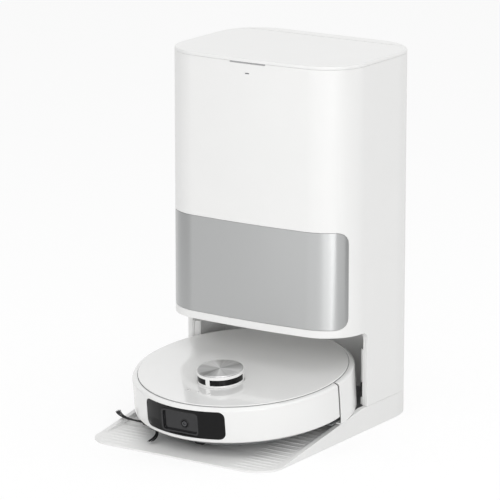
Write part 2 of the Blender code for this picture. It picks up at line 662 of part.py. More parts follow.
def block_outline(grow=0.0):
    """The camera block's outline in the window."""
    return rounded((BLOCK_X0 - grow, BLOCK_X1 + grow), (BLOCK_Z0 - grow, BLOCK_Z1 + grow), BLOCK_R + grow, 5)


def build_skin(robot):
    """The bumper with its camera window, block and lens, and the fixed rear half of the skin."""
    rear = turned_ring(skin_profile(FLOOR_GAP, CHASSIS_R + GAP), 36, angles=(SHELL_START_ANGLE,
                                                                            360 - SHELL_START_ANGLE))
    add("rear_shell", rear, WHITE, robot)

    front_y = -ROBOT_R - 0.01
    back_y = -ROBOT_R * 0.8
    ring = turned_ring(skin_profile(BUMPER_BOTTOM_Z, ROBOT_R - 0.0075), 40,
                       angles=(-BUMPER_HALF_ANGLE, BUMPER_HALF_ANGLE))
    bumper = add("bumper", ring, WHITE, robot)
    shape(bumper, (CUT, "window_hole", window_block(GAP, front_y, back_y)))

    r = ROBOT_R - 0.0004
    sheet = turned_ring([(r, 0.025), (r, 0.084), (r - WINDOW_T, 0.084), (r - WINDOW_T, 0.025)], 24,
                        angles=(-32.0, 32.0))
    window = add("camera_window", sheet, BLACK_GLOSS, robot)
    shape(window, (KEEP, "edge", window_block(0.0, front_y, back_y)),
          (CUT, "block_hole", prism_y(block_outline(GAP), front_y, back_y)))

    face = -ROBOT_R + 0.0026
    block = add("camera_block", prism_y(block_outline(), face, face + BLOCK_DEPTH), BLACK_GLOSS, robot)
    floor_y = face + BLOCK_RECESS
    well = rod((LENS_X, floor_y - 0.001, LENS_Z), (LENS_X, floor_y + 0.002, LENS_Z), LENS_R + GAP, 20)
    shape(block, (CUT, "recess", prism_y(block_outline(-BLOCK_FRAME), face - 0.01, floor_y)),
          (CUT, "lens_well", well))
    lens = turned([(LENS_R, 0.0), (LENS_R, LENS_LENGTH * 0.7), (LENS_R * 0.8, LENS_LENGTH),
                   (LENS_R * 0.62, LENS_LENGTH), (LENS_R * 0.60, LENS_LENGTH * 0.7),
                   (LENS_R * 0.35, LENS_LENGTH * 0.88)], 20)
    lens.transform(Matrix.Translation((LENS_X, floor_y + 0.002 - GAP, LENS_Z))
                   @ Matrix.Rotation(math.pi / 2, 4, "X"))
    add("camera_lens", lens, BLACK_GLOSS, robot)


def build_deck(robot):
    """The inner deck, the cover that lifts off it, the buttons and the lidar turret."""
    top = DECK_PLATE_Z + DECK_PLATE_T
    wall_foot = FLOOR_GAP + CHASSIS_T + GAP
    cup = [(DECK_WALL_R, wall_foot), (DECK_WALL_R, DECK_PLATE_Z - 0.001), (DECK_R, DECK_PLATE_Z - 0.001),
           (DECK_R, top), (0.006, top), (0.006, DECK_PLATE_Z), (DECK_WALL_R - 0.0025, DECK_PLATE_Z),
           (DECK_WALL_R - 0.0025, wall_foot)]
    deck = add("upper_deck", turned_ring(cup, 44), GREY, robot)
    x, y = SIDE_BRUSH
    gear_room = rod((x, y, 0.0), (x, y, 0.056), SIDE_MOTOR_R + 0.0008, 20)
    nose_room = box((-DECK_R, DECK_R), (-DECK_R, 0.004), (0.0, wall_foot + NOSE_RISE))
    shape(deck, (CUT, "side_motor_room", gear_room), (CUT, "nose_room", nose_room))

    under = COVER_Z - COVER_T
    cover = add("top_cover", turned([(COVER_R, under), (COVER_R, COVER_Z - 0.0006),
                                     (COVER_R - 0.0006, COVER_Z)], 64), WHITE, robot)
    hole = rod((0.0, TURRET_Y, 0.0), (0.0, TURRET_Y, 0.2), TURRET_R + 0.0006, 40)
    shape(cover, (CUT, "turret_hole", hole))
    for name, bx in BUTTON_XS.items():
        hole = rod((bx, BUTTON_Y, 0.0), (bx, BUTTON_Y, 0.2), BUTTON_R + GAP, 20)
        shape(cover, (CUT, f"{name}_hole", hole))
        foot_z = top + GAP + BUTTON_TRAVEL
        cap = turned([(BUTTON_R + BUTTON_FLANGE, foot_z), (BUTTON_R + BUTTON_FLANGE, foot_z + 0.0009),
                      (BUTTON_R, foot_z + 0.0009), (BUTTON_R, COVER_Z + 0.0003),
                      (BUTTON_R - 0.0003, COVER_Z + 0.0006)], 20, (bx, BUTTON_Y))
        add(name, cap, WHITE, robot, (bx, BUTTON_Y, foot_z))

    r = TURRET_R
    inner = r - TURRET_WALL
    cage_z = top + GAP
    wall = [(r, cage_z), (r, TURRET_TOP - 0.0008), (r - 0.0008, TURRET_TOP), (inner, TURRET_TOP),
            (inner, cage_z + 0.003), (0.010, cage_z + 0.003), (0.010, cage_z)]
    cage = add("turret_cage", turned_ring(wall, 40, (0.0, TURRET_Y)), WHITE, robot)
    for i, angles in enumerate(SLOT_ANGLES):
        slot = turned_ring([(r + 0.002, SLOT_Z0), (r + 0.002, SLOT_Z1), (inner - 0.002, SLOT_Z1),
                            (inner - 0.002, SLOT_Z0)], 18, (0.0, TURRET_Y), angles)
        shape(cage, (CUT, f"slot_{i}", slot))
    head_z = cage_z + 0.003 + GAP
    head = turned([(HEAD_R * 0.6, head_z), (HEAD_R * 0.6, head_z + 0.002), (HEAD_R, head_z + 0.002),
                   (HEAD_R, TURRET_TOP - 0.0022), (HEAD_R - 0.001, TURRET_TOP - 0.0012)], 36,
                  (0.0, TURRET_Y))
    spinner = add("lidar_head", head, BLACK_GLOSS, robot, (0.0, TURRET_Y, head_z))
    for i, hx in enumerate((-0.009, 0.009)):
        eye = rod((hx, TURRET_Y - HEAD_R - 0.01, 0.0925), (hx, TURRET_Y - HEAD_R + 0.006, 0.0925), 0.0042, 14)
        shape(spinner, (CUT, f"eye_{i}", eye))
    cap_z = TURRET_TOP + GAP
    add("lidar_cap", turned([(CAP_R - 0.0003, cap_z), (CAP_R, cap_z + 0.0003),
                             (CAP_R, cap_z + CAP_T - 0.0007), (CAP_R - 0.0008, cap_z + CAP_T)], 40,
                            (0.0, TURRET_Y)), SPUN, robot)


# ---- robot: inside and underneath ------------------------------------------------------------
def build_chassis(robot):
    """The chassis plate with its wells, and the parts that stand on it."""
    z0, z1 = FLOOR_GAP, FLOOR_GAP + CHASSIS_T
    pan = add("chassis", turned([(CHASSIS_R - 0.0008, z0), (CHASSIS_R, z0 + 0.0008), (CHASSIS_R, z1)], 48),
              GREY, robot)
    front = NOSE_HALF_ANGLE
    away = turned_ring([(NOSE_R, z0 - 0.01), (ROBOT_R, z0 - 0.01), (ROBOT_R, z1 + 0.01), (NOSE_R, z1 + 0.01)],
                       36, angles=(-front, front))
    root = (NOSE_R - 0.004, z0 + 0.0005, z1 - 0.0005)
    nose = turned_ring([(root[0], root[1]), (NOSE_R, root[1]), (CHASSIS_R, z0 + NOSE_RISE),
                        (CHASSIS_R, z1 + NOSE_RISE), (NOSE_R, root[2]), (root[0], root[2])], 34,
                       angles=(-front + 0.3, front - 0.3))
    shape(pan, (CUT, "front_rim", away), (JOIN, "nose", nose))
    axle_z = WHEEL_R + GAP
    for side_name, s in (("left", -1), ("right", 1)):
        well = box(sorted((s * (WHEEL_X - WHEEL_W / 2 - 0.0025), s * (WHEEL_X + WHEEL_W / 2 + 0.0025))),
                   (-WHEEL_R - WHEEL_WELL, WHEEL_R + WHEEL_WELL), (-0.01, 0.05))
        inner = s * (ARM_X - ARM_T / 2 - GAP - LUG_T)
        outer = s * (ARM_X - ARM_T / 2 - GAP)
        lug = box(sorted((inner, outer)), (ARM_PIVOT_Y - 0.007, ARM_PIVOT_Y + 0.007), (z1 - 0.001, axle_z + 0.007))
        pivot = rod((s * 0.070, ARM_PIVOT_Y, axle_z), (s * 0.100, ARM_PIVOT_Y, axle_z), PIVOT_R + GAP)
        shape(pan, (CUT, f"{side_name}_wheel_well", well), (JOIN, f"{side_name}_lug", lug),
              (CUT, f"{side_name}_pivot_bore", pivot))
    slot = box((-GUARD_HALF_W - GAP, GUARD_HALF_W + GAP), (BRUSH_Y - GUARD_HALF_D - GAP,
               BRUSH_Y + GUARD_HALF_D + GAP), (-0.01, 0.05))
    x, y = SIDE_BRUSH
    caster = rod((0.0, CASTER_Y, 0.0), (0.0, CASTER_Y, 0.05), CASTER_FORK_R + 0.0005, 32)
    shape(pan, (CUT, "brush_slot", slot), (CUT, "caster_hole", caster),
          (CUT, "side_motor_seat", rod((x, y, z1), (x, y, 0.05), SIDE_MOTOR_R + GAP)),
          (CUT, "side_shaft_hole", rod((x, y, 0.0), (x, y, 0.05), SIDE_SHAFT_R + GAP)))
    for side_name, s in (("left", -1), ("right", 1)):
        hole = rod((s * MOP_X, MOP_Y, 0.0), (s * MOP_X, MOP_Y, 0.05), MOP_SHAFT_R + GAP)
        shape(pan, (CUT, f"{side_name}_mop_hole", hole))

    seat = z1 + GAP
    add("battery", prism(rounded((-0.040, 0.040), (0.095, 0.140), 0.006, 3), seat, seat + 0.046), CELLS, robot)
    bin_z = (seat, 0.056)
    dust = add("dust_bin", prism(rounded((-0.062, 0.062), (-0.0235, 0.058), 0.006, 3), *bin_z), SMOKE, robot)
    room = prism(rounded((-0.060, 0.060), (-0.0215, 0.056), 0.004, 3), bin_z[0] + 0.002, 0.2)
    shape(dust, (CUT, "room", room),
          (CUT, "inlet", box((-0.030, 0.030), (-0.1, -0.010), (bin_z[0] + 0.006, 0.046))))
    tank = prism(rounded((-0.030, 0.030), (0.062, 0.092), 0.005, 3), seat, 0.060)
    add("water_tank", tank, SMOKE, robot)
    build_suction(robot, seat)
    build_brushes(robot, seat)


def build_suction(robot, seat):
    """The suction motor's housing beside the dust bin, with its impeller on the motor's shaft."""
    x, y, r = 0.102, 0.083, 0.0175
    profile = [(r, seat), (r, seat + 0.034), (r - 0.002, seat + 0.034), (r - 0.002, seat + 0.016),
               (0.0025, seat + 0.016), (0.0025, seat + 0.031)]
    add("suction_housing", turned(profile, 28, (x, y)), BLACK, robot)
    build_impeller("suction_impeller", (x, y), seat + 0.0175, 0.0145, 0.012, 0.0025, robot)


def build_wheels(robot):
    """The drive wheels on their sprung arms, and the swivelling caster."""
    axle_z = WHEEL_R + GAP
    for side_name, s in (("left", -1), ("right", 1)):
        arm_x = (s * (ARM_X - ARM_T / 2), s * (ARM_X + ARM_T / 2))
        half = ARM_H / 2
        side = arc((0.0, axle_z), half, 90, 270, 8) + arc((ARM_PIVOT_Y, axle_z), half, -90, 90, 8)
        side = [(y, z) for y, z in side]
        arm = add(f"wheel_arm_{side_name}", prism_x(side, *arm_x), BLACK, robot,
                  (s * ARM_X, ARM_PIVOT_Y, axle_z))
        stub = rod((s * (ARM_X - ARM_T / 2 - GAP - LUG_T), ARM_PIVOT_Y, axle_z),
                   (s * ARM_X, ARM_PIVOT_Y, axle_z), PIVOT_R)
        bore = rod((s * 0.080, 0.0, axle_z), (s * 0.110, 0.0, axle_z), WHEEL_AXLE_R + GAP)
        shape(arm, (JOIN, "pivot_stub", stub), (CUT, "axle_bore", bore))

        inner, outer = WHEEL_X - WHEEL_W / 2, WHEEL_X + WHEEL_W / 2
        profile = [(WHEEL_AXLE_R, ARM_X - ARM_T / 2), (WHEEL_AXLE_R, inner), (WHEEL_R - 0.0025, inner),
                   (WHEEL_R, inner + 0.0025), (WHEEL_R, outer - 0.0025), (WHEEL_R - 0.0025, outer),
                   (WHEEL_R * 0.72, outer), (WHEEL_R * 0.68, outer - 0.002), (WHEEL_R * 0.25, outer - 0.002)]
        wheel = x_turned(profile, 28, (0.0, 0.0, 0.0))
        if s < 0:
            wheel.transform(Matrix.Rotation(math.pi, 4, "Z"))
        wheel.transform(Matrix.Translation((0.0, 0.0, axle_z)))
        add(f"wheel_{side_name}", wheel, RUBBER, robot, (s * WHEEL_X, 0.0, axle_z))

    fork = turned([(CASTER_FORK_R - 0.001, FLOOR_GAP + GAP), (CASTER_FORK_R, FLOOR_GAP + 0.0013),
                   (CASTER_FORK_R, CASTER_FORK_TOP - 0.003), (CASTER_FORK_R - 0.004, CASTER_FORK_TOP),
                   (0.005, CASTER_FORK_TOP), (0.005, CASTER_FORK_TOP + 0.008)], 24, (0.0, CASTER_Y))
    made = add("caster_fork", fork, BLACK, robot, (0.0, CASTER_Y, CASTER_FORK_TOP))
    wheel_y, wheel_z = CASTER_Y + CASTER_TRAIL, CASTER_R + GAP
    slot_r = CASTER_R + 0.0012
    roof = arc((wheel_y, wheel_z), slot_r, 0, 180, 12) + [(wheel_y - slot_r, -0.01), (wheel_y + slot_r, -0.01)]
    axle = rod((-0.0165, wheel_y, wheel_z), (0.0165, wheel_y, wheel_z), CASTER_AXLE_R + GAP, 12)
    shape(made, (CUT, "wheel_slot", prism_x(roof, -CASTER_W / 2 - 0.001, CASTER_W / 2 + 0.001)),
          (CUT, "axle_bore", axle))
    half = CASTER_W / 2
    profile = [(CASTER_AXLE_R, -0.0160), (CASTER_AXLE_R, -half), (CASTER_R - 0.002, -half),
               (CASTER_R, 0.002 - half), (CASTER_R, half - 0.002), (CASTER_R - 0.002, half),
               (CASTER_AXLE_R, half), (CASTER_AXLE_R, 0.0160)]
    add("caster_wheel", x_turned(profile, 24, (0.0, wheel_y, wheel_z)), BLACK, robot,
        (0.0, wheel_y, wheel_z))


def bristle_outline(angle):
    """A curved tuft that widens from the hub to its tip, in plan."""
    x, y = SIDE_BRUSH
    sides = ([], [])
    steps = 7
    for k in range(steps + 1):
        t = k / steps
        r = SIDE_HUB_R + 0.0006 + (BRISTLE_LENGTH - SIDE_HUB_R) * t
        a = math.radians(angle) - BRISTLE_SWEEP * (t ** 1.5 - 1)
        half = 0.0013 + 0.0040 * t ** 2
        for side, way in zip(sides, (-1, 1)):
            side.append((x + r * math.cos(a) - way * half * math.sin(a),
                         y + r * math.sin(a) + way * half * math.cos(a)))
    return sides[0] + sides[1][::-1]


def build_brushes(robot, seat):
    """The main brush in its guard, the side brush with its motor, and the two mops."""
    lobes, steps = BRUSH_LOBES * 4, 8
    end = GUARD_HALF_W - 0.0015

    def circle_ring(x, r):
        return [(x, r * math.cos(2 * math.pi * i / lobes), r * math.sin(2 * math.pi * i / lobes))
                for i in range(lobes)]

    rings = [circle_ring(-end, BRUSH_SHAFT_R), circle_ring(-BRUSH_HALF_L, BRUSH_SHAFT_R)]
    for k in range(steps + 1):
        x = BRUSH_HALF_L * (2 * k / steps - 1)
        twist = BRUSH_TWIST * abs(2 * k / steps - 1)
        ring = []
        for i in range(lobes):
            r = BRUSH_R if i % 4 == 0 else BRUSH_R * 0.74
            a = 2 * math.pi * i / lobes + twist
            ring.append((x, r * math.cos(a), r * math.sin(a)))
        rings.append(ring)
    rings += [circle_ring(BRUSH_HALF_L, BRUSH_SHAFT_R), circle_ring(end, BRUSH_SHAFT_R)]
    roller = loft(rings)
    roller.transform(Matrix.Translation((0.0, BRUSH_Y, BRUSH_Z)))
    add("main_brush", roller, RUBBER, robot, (0.0, BRUSH_Y, BRUSH_Z))

    z0, z1 = FLOOR_GAP + 0.0002, FLOOR_GAP + CHASSIS_T
    hw, hd = GUARD_HALF_W, GUARD_HALF_D
    guard = add("brush_guard", box((-hw, hw), (BRUSH_Y - hd, BRUSH_Y + hd), (z0, z1)), GREY, robot)
    hole = box((-BRUSH_HALF_L - 0.001, BRUSH_HALF_L + 0.001), (BRUSH_Y - hd + GUARD_RIM,
               BRUSH_Y + hd - GUARD_RIM), (-0.01, 0.1))
    shape(guard, (CUT, "mouth", hole))
    for side_name, s in (("left", -1), ("right", 1)):
        cheek = box(sorted((s * (BRUSH_HALF_L + 0.001), s * hw)), (BRUSH_Y - 0.008, BRUSH_Y + 0.008),
                    (z0 + 0.001, BRUSH_Z + 0.007))
        shape(guard, (JOIN, f"{side_name}_cheek", cheek))
    shape(guard, (CUT, "shaft_bore", rod((-0.1, BRUSH_Y, BRUSH_Z), (0.1, BRUSH_Y, BRUSH_Z),
                                         BRUSH_SHAFT_R + GAP)))

    x, y = SIDE_BRUSH
    hub_z = 0.0080
    hub = turned([(SIDE_HUB_R * 0.8, hub_z), (SIDE_HUB_R, hub_z + 0.001), (SIDE_HUB_R, FLOOR_GAP - GAP),
                  (SIDE_SHAFT_R, FLOOR_GAP - GAP), (SIDE_SHAFT_R, seat)], 24, (x, y))
    add("side_brush_hub", hub, RUBBER, robot, (x, y, hub_z))
    tuft_z = (FLOOR_GAP - 0.0030, FLOOR_GAP - 0.0014)
    collar = turned_ring([(SIDE_HUB_R + 0.0003, tuft_z[0]), (SIDE_HUB_R + 0.002, tuft_z[0]),
                          (SIDE_HUB_R + 0.002, tuft_z[1]), (SIDE_HUB_R + 0.0003, tuft_z[1])], 24, (x, y))
    tufts = add("side_brush_bristles", collar, BLACK, robot, (x, y, tuft_z[0]))
    for i, angle in enumerate(BRISTLE_ANGLES):
        shape(tufts, (JOIN, f"tuft_{i}", prism(bristle_outline(angle), *tuft_z)))
    motor_z = seat
    motor = turned([(SIDE_MOTOR_R, motor_z), (SIDE_MOTOR_R, motor_z + 0.020), (0.008, motor_z + 0.022),
                    (0.008, motor_z + 0.038)], 24, (x, y))
    made = add("side_brush_motor", motor, GREY, robot)
    shape(made, (CUT, "shaft_bore", rod((x, y, 0.0), (x, y, seat + 0.004), SIDE_SHAFT_R + GAP)))

    for side_name, s in (("left", -1), ("right", 1)):
        cx = s * MOP_X
        pad = turned([(MOP_R - 0.003, GAP), (MOP_R, GAP + 0.002), (MOP_R, MOP_PAD_T - 0.001),
                      (MOP_R - 0.002, MOP_PAD_T)], 32, (cx, MOP_Y))
        add(f"mop_pad_{side_name}", pad, MOP_CLOTH, robot, (cx, MOP_Y, MOP_PAD_T))
        z = MOP_PAD_T + GAP
        disc = turned([(MOP_R - 0.004, z), (MOP_R - 0.004, z + 0.0025), (0.018, z + MOP_DISC_T),
                       (MOP_SHAFT_R, z + MOP_DISC_T), (MOP_SHAFT_R, seat + 0.006)], 28, (cx, MOP_Y))
        add(f"mop_disc_{side_name}", disc, BLACK, robot, (cx, MOP_Y, z))


def build_robot():
    """The robot's pieces on their frame, nose down on the ramp."""
    robot = bpy.data.objects.new("robot_frame", None)
    bpy.context.scene.collection.objects.link(robot)
    robot.location = (0.0, ROBOT_Y, ROBOT_Z)
    robot.rotation_euler = (ROBOT_TILT, 0.0, 0.0)
    build_skin(robot)
    build_deck(robot)
    build_chassis(robot)
    build_wheels(robot)


def main():
    """Clear the scene and build the station and the robot."""
    for old in list(bpy.data.objects):
        bpy.data.objects.remove(old, do_unlink=True)
    build_tray()
    build_tower()
    build_guides()
    build_top()
    build_tanks()
    build_dust_parts()
    build_robot()
    bpy.context.view_layer.update()


main()
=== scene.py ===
"""Looks of a robot vacuum parked in its base station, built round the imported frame."""
import json
import logging
import math
from dataclasses import dataclass
from enum import Enum
from typing import Any, Optional, Sequence

import bmesh
import bpy
import numpy as np
from mathutils import Matrix, Vector


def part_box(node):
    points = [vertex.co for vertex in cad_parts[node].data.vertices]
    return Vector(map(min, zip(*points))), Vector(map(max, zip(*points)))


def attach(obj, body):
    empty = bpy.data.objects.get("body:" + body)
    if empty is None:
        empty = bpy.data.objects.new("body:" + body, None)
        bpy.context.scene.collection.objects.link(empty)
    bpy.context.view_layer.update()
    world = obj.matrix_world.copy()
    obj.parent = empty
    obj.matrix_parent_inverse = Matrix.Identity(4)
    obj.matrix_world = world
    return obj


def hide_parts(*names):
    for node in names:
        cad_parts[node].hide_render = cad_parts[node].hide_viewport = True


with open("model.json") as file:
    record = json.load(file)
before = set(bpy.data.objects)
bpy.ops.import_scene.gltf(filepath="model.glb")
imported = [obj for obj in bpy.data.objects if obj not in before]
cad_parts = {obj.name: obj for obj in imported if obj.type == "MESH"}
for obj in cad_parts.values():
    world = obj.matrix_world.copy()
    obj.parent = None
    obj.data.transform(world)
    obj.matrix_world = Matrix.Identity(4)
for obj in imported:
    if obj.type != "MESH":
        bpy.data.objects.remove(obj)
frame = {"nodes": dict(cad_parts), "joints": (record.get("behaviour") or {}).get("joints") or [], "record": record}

LOG = logging.getLogger("station")
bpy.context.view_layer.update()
MM = 0.001
MERGE = 2e-6           # points closer than this are one
BODY_OF = {node: body for body, nodes in frame["record"]["behaviour"]["bodies"].items() for node in nodes}
JOINTS = {joint["name"]: joint for joint in frame["joints"]}


class Axis(Enum):
    """The line that a turned piece spins about."""

    X = (0, 1, 2)
    Y = (1, 2, 0)
    Z = (2, 0, 1)


class Tone(Enum):
    """sRGB colours of the object's plastics, metals and cloths."""

    WHITE = "#F1F1F0"
    BAY_WHITE = "#EDEDEC"
    TRAY_WHITE = "#F0F0EF"
    SILVER = "#B9BABA"
    SPUN = "#DEDEDD"
    GLASS_BLACK = "#0B0B0C"
    CAMERA_GREY = "#1E1E20"
    LENS_GREY = "#6A6B6E"
    NYLON_BLACK = "#232325"
    RUBBER_BLACK = "#1C1C1E"
    MARK_GREY = "#77777A"
    INNER_GREY = "#8B8D8F"
    SMOKE = "#55585B"
    FLEECE = "#D9D8D2"
    MICROFIBRE = "#73777C"
    BOARD_GREEN = "#1E5A38"
    SLEEVE_BLUE = "#2C4E86"
    STEEL = "#C2C3C5"
    SEAM_SHADE = "#7C7C7E"
    SLOT_SHADE = "#B2B2B4"


def linear(tone: "Tone") -> tuple[float, float, float, float]:
    """Turn an sRGB hex value into Blender's linear colour.

    Args:
        tone: the colour as a hex value.

    Returns:
        Red, green, blue and an alpha of 1.
    """
    parts = [int(tone.value[i:i + 2], 16) / 255 for i in (1, 3, 5)]
    line = [c / 12.92 if c <= 0.04045 else ((c + 0.055) / 1.055) ** 2.4 for c in parts]
    return (line[0], line[1], line[2], 1.0)


# ---- materials -------------------------------------------------------------------------------
def add_node(tree: bpy.types.NodeTree, kind: str, settings: Optional[dict[str, Any]] = None,
             **links: Any) -> bpy.types.Node:
    """Add a shader node with its settings and links.

    Args:
        tree: the node tree that it goes into.
        kind: the node's type name, without the ShaderNode prefix.
        settings: attributes of the node, or values of its inputs by name or number.
        links: output sockets by input name, with _ for a space and in_ before a number.

    Returns:
        The new node.
    """
    made = tree.nodes.new("ShaderNode" + kind)
    for key, value in (settings or {}).items():
        if isinstance(key, str) and hasattr(made, key):
            setattr(made, key, value)
        else:
            made.inputs[key].default_value = value
    for key, socket in links.items():
        name = int(key[3:]) if key.startswith("in_") else key.replace("_", " ")
        tree.links.new(socket, made.inputs[name])
    return made


@dataclass(frozen=True)
class Finish:
    """A moulded, coated or metal finish on Object coordinates.

    Its colour drifts slightly over cloud_mm, its roughness over the same clouds, and its surface has
    a fine grain of grain_mm that stands grain_depth_mm high. Where painted_reflection_fans is set,
    painted light and dark fans run round the piece instead of the drift: a painted reflection.
    """

    name: str
    tone: Tone
    roughness: float
    metallic: float = 0.0
    coat: float = 0.0
    coat_roughness: float = 0.06
    ior: float = 1.5
    drift: float = 0.012
    rough_drift: float = 0.05
    cloud_mm: float = 60.0
    grain_mm: float = 0.9
    grain_depth_mm: float = 0.004
    stretch: tuple[float, float, float] = (1.0, 1.0, 1.0)
    transmission: float = 0.0
    sheen: float = 0.0
    anisotropy: float = 0.0
    painted_reflection_fans: float = 0.0

    def material(self) -> bpy.types.Material:
        """Build the finish once and return its material."""
        found = bpy.data.materials.get(self.name)
        if found:
            return found
        made = bpy.data.materials.new(self.name)
        made.use_nodes = True
        tree = made.node_tree
        shader = tree.nodes["Principled BSDF"]
        place = add_node(tree, "TexCoord").outputs["Object"]
        turned = add_node(tree, "Mapping", {"Scale": self.stretch}, Vector=place).outputs["Vector"]
        cloud = add_node(tree, "TexNoise", {"Scale": 1 / (self.cloud_mm * MM), "Detail": 2.0},
                         Vector=place).outputs["Fac"]
        grain = add_node(tree, "TexNoise", {"Scale": 1 / (self.grain_mm * MM), "Detail": 3.0},
                         Vector=turned).outputs["Fac"]
        base = linear(self.tone)
        low = tuple(c * (1 - self.drift) for c in base[:3]) + (1.0,)
        high = tuple(min(1.0, c * (1 + self.drift)) for c in base[:3]) + (1.0,)
        colour = add_node(tree, "Mix", {"data_type": "RGBA", 6: low, 7: high}, in_0=cloud).outputs[2]
        # Painted reflection: light and dark fans round the turn stand in for the lamps' wedges on turned metal.
        if self.painted_reflection_fans:
            colour = self.paint_reflection_fans(tree, base)
        tree.links.new(colour, shader.inputs["Base Color"])
        rough = add_node(tree, "MapRange", {"To Min": max(0.02, self.roughness - self.rough_drift / 2),
                                            "To Max": self.roughness + self.rough_drift / 2}, Value=cloud)
        tree.links.new(rough.outputs["Result"], shader.inputs["Roughness"])
        bump = add_node(tree, "Bump", {"Distance": self.grain_depth_mm * MM, "Strength": 0.8}, Height=grain)
        tree.links.new(bump.outputs["Normal"], shader.inputs["Normal"])
        shader.inputs["Metallic"].default_value = self.metallic
        shader.inputs["Coat Weight"].default_value = self.coat
        shader.inputs["Coat Roughness"].default_value = self.coat_roughness
        shader.inputs["Transmission Weight"].default_value = self.transmission
        shader.inputs["Sheen Weight"].default_value = self.sheen
        shader.inputs["Anisotropic"].default_value = self.anisotropy
        if not self.metallic:
            shader.inputs["IOR"].default_value = self.ior
        if self.anisotropy:
            tangent = add_node(tree, "Tangent", {"direction_type": "UV_MAP", "uv_map": "around"})
            tree.links.new(tangent.outputs["Tangent"], shader.inputs["Tangent"])
        return made

    def paint_reflection_fans(self, tree: bpy.types.NodeTree, base: Sequence[float]) -> bpy.types.NodeSocket:
        """Painted reflection: fans of light and dark round a turned face, in place of the wedges of lamplight that
        its tool marks mirror.

        The shade is a sum of sine waves of whole numbers of periods round the turn, the first
        co-ordinate of the UV map "around".

        Args:
            tree: the material's node tree.
            base: the metal's mean colour.

        Returns:
            The socket that holds the shaded colour.
        """
        spot = add_node(tree, "UVMap", {"uv_map": "around"}).outputs["UV"]
        share = add_node(tree, "SeparateXYZ", Vector=spot).outputs["X"]
        total = None
        for periods, start, height in PAINTED_FAN_WAVES:
            turn = add_node(tree, "Math", {"operation": "MULTIPLY_ADD", 1: 2 * math.pi * periods, 2: start},
                            in_0=share).outputs[0]
            wave = add_node(tree, "Math", {"operation": "SINE"}, in_0=turn).outputs[0]
            part = add_node(tree, "Math", {"operation": "MULTIPLY", 1: height}, in_0=wave).outputs[0]
            total = part if total is None else add_node(
                tree, "Math", {"operation": "ADD"}, in_0=total, in_1=part).outputs[0]
        level = add_node(tree, "MapRange", {"From Min": -1.0, "From Max": 1.0}, Value=total).outputs["Result"]
        dark = tuple(c * (1 - self.painted_reflection_fans) for c in base[:3]) + (1.0,)
        light = tuple(min(1.0, c * (1 + self.painted_reflection_fans)) for c in base[:3]) + (1.0,)
        return add_node(tree, "Mix", {"data_type": "RGBA", 6: dark, 7: light}, in_0=level).outputs[2]


# Periods round the turn, start in radians and height of each wave of the turned disc's painted reflection fans.
PAINTED_FAN_WAVES = ((2, 2.6, 0.50), (5, 0.9, 0.30), (11, 0.2, 0.12), (23, 1.7, 0.08))

# Injection-moulded ABS with a fine spark-eroded texture: a soft, even white.
ABS_WHITE = Finish("moulded_abs_white", Tone.WHITE, 0.36, grain_mm=0.7, grain_depth_mm=0.003)
ABS_BAY = Finish("moulded_abs_bay", Tone.BAY_WHITE, 0.42, grain_mm=0.8, grain_depth_mm=0.003)
ABS_TRAY = Finish("moulded_abs_tray", Tone.TRAY_WHITE, 0.40, grain_mm=1.0, grain_depth_mm=0.006)
# Polished ABS under a clear hard coat: it mirrors the tower and the bay softly.
COVER_GLOSS = Finish("polished_abs_cover", Tone.WHITE, 0.16, coat=1.0, coat_roughness=0.03,
                     rough_drift=0.02, grain_depth_mm=0.0005)
BUMPER_GLOSS = Finish("polished_abs_bumper", Tone.WHITE, 0.24, coat=0.4, coat_roughness=0.08,
                      grain_depth_mm=0.001)
# Plastic vacuum-coated with aluminium: a satin metal that smears reflections.
SATIN_SILVER = Finish("satin_metallised_panel", Tone.SILVER, 0.36, metallic=1.0, cloud_mm=90.0,
                      grain_mm=0.5, grain_depth_mm=0.002, rough_drift=0.03, anisotropy=0.8)
# Turned aluminium: its anisotropy spreads each lamp into a fan, and light and dark fans are painted into its
# colour as a painted reflection.
SPUN_ALUMINIUM_PAINTED_FANS = Finish("spun_aluminium_painted_fans", Tone.SPUN, 0.30, metallic=1.0, anisotropy=0.85,
                        rough_drift=0.02, grain_depth_mm=0.0005, painted_reflection_fans=0.52)
BLACK_GLASS = Finish("black_polycarbonate", Tone.GLASS_BLACK, 0.10, ior=1.30, rough_drift=0.01,
                     grain_depth_mm=0.0)
CAMERA_PLASTIC = Finish("camera_frame_plastic", Tone.CAMERA_GREY, 0.16, rough_drift=0.03)
# Grey lacquer for the lens's inner ring; the same grey paints the glint dome at the lens's centre as a painted
# highlight.
LENS_RING_AND_GLINT = Finish("lens_ring_lacquer_and_glint", Tone.LENS_GREY, 0.30)
NYLON = Finish("black_glass_nylon", Tone.NYLON_BLACK, 0.50, grain_mm=0.6, grain_depth_mm=0.01)
RUBBER = Finish("black_rubber", Tone.RUBBER_BLACK, 0.72, grain_mm=0.9, grain_depth_mm=0.02)
INNER_ABS = Finish("grey_inner_abs", Tone.INNER_GREY, 0.48, grain_depth_mm=0.008)
TANK_PC = Finish("smoked_tank_pc", Tone.SMOKE, 0.12, transmission=0.35, ior=1.58, rough_drift=0.02,
                 grain_depth_mm=0.0)
FLEECE = Finish("non_woven_fleece", Tone.FLEECE, 0.92, sheen=0.3, drift=0.05, cloud_mm=6.0,
                grain_mm=1.2, grain_depth_mm=0.12)
MICROFIBRE = Finish("looped_microfibre", Tone.MICROFIBRE, 0.95, sheen=0.5, drift=0.10, cloud_mm=4.0,
                    grain_mm=1.5, grain_depth_mm=0.35)
BOARD = Finish("solder_masked_board", Tone.BOARD_GREEN, 0.35, drift=0.08, cloud_mm=9.0)
SLEEVE = Finish("shrink_sleeve", Tone.SLEEVE_BLUE, 0.30)
STEEL = Finish("turned_steel_pin", Tone.STEEL, 0.25, metallic=1.0)
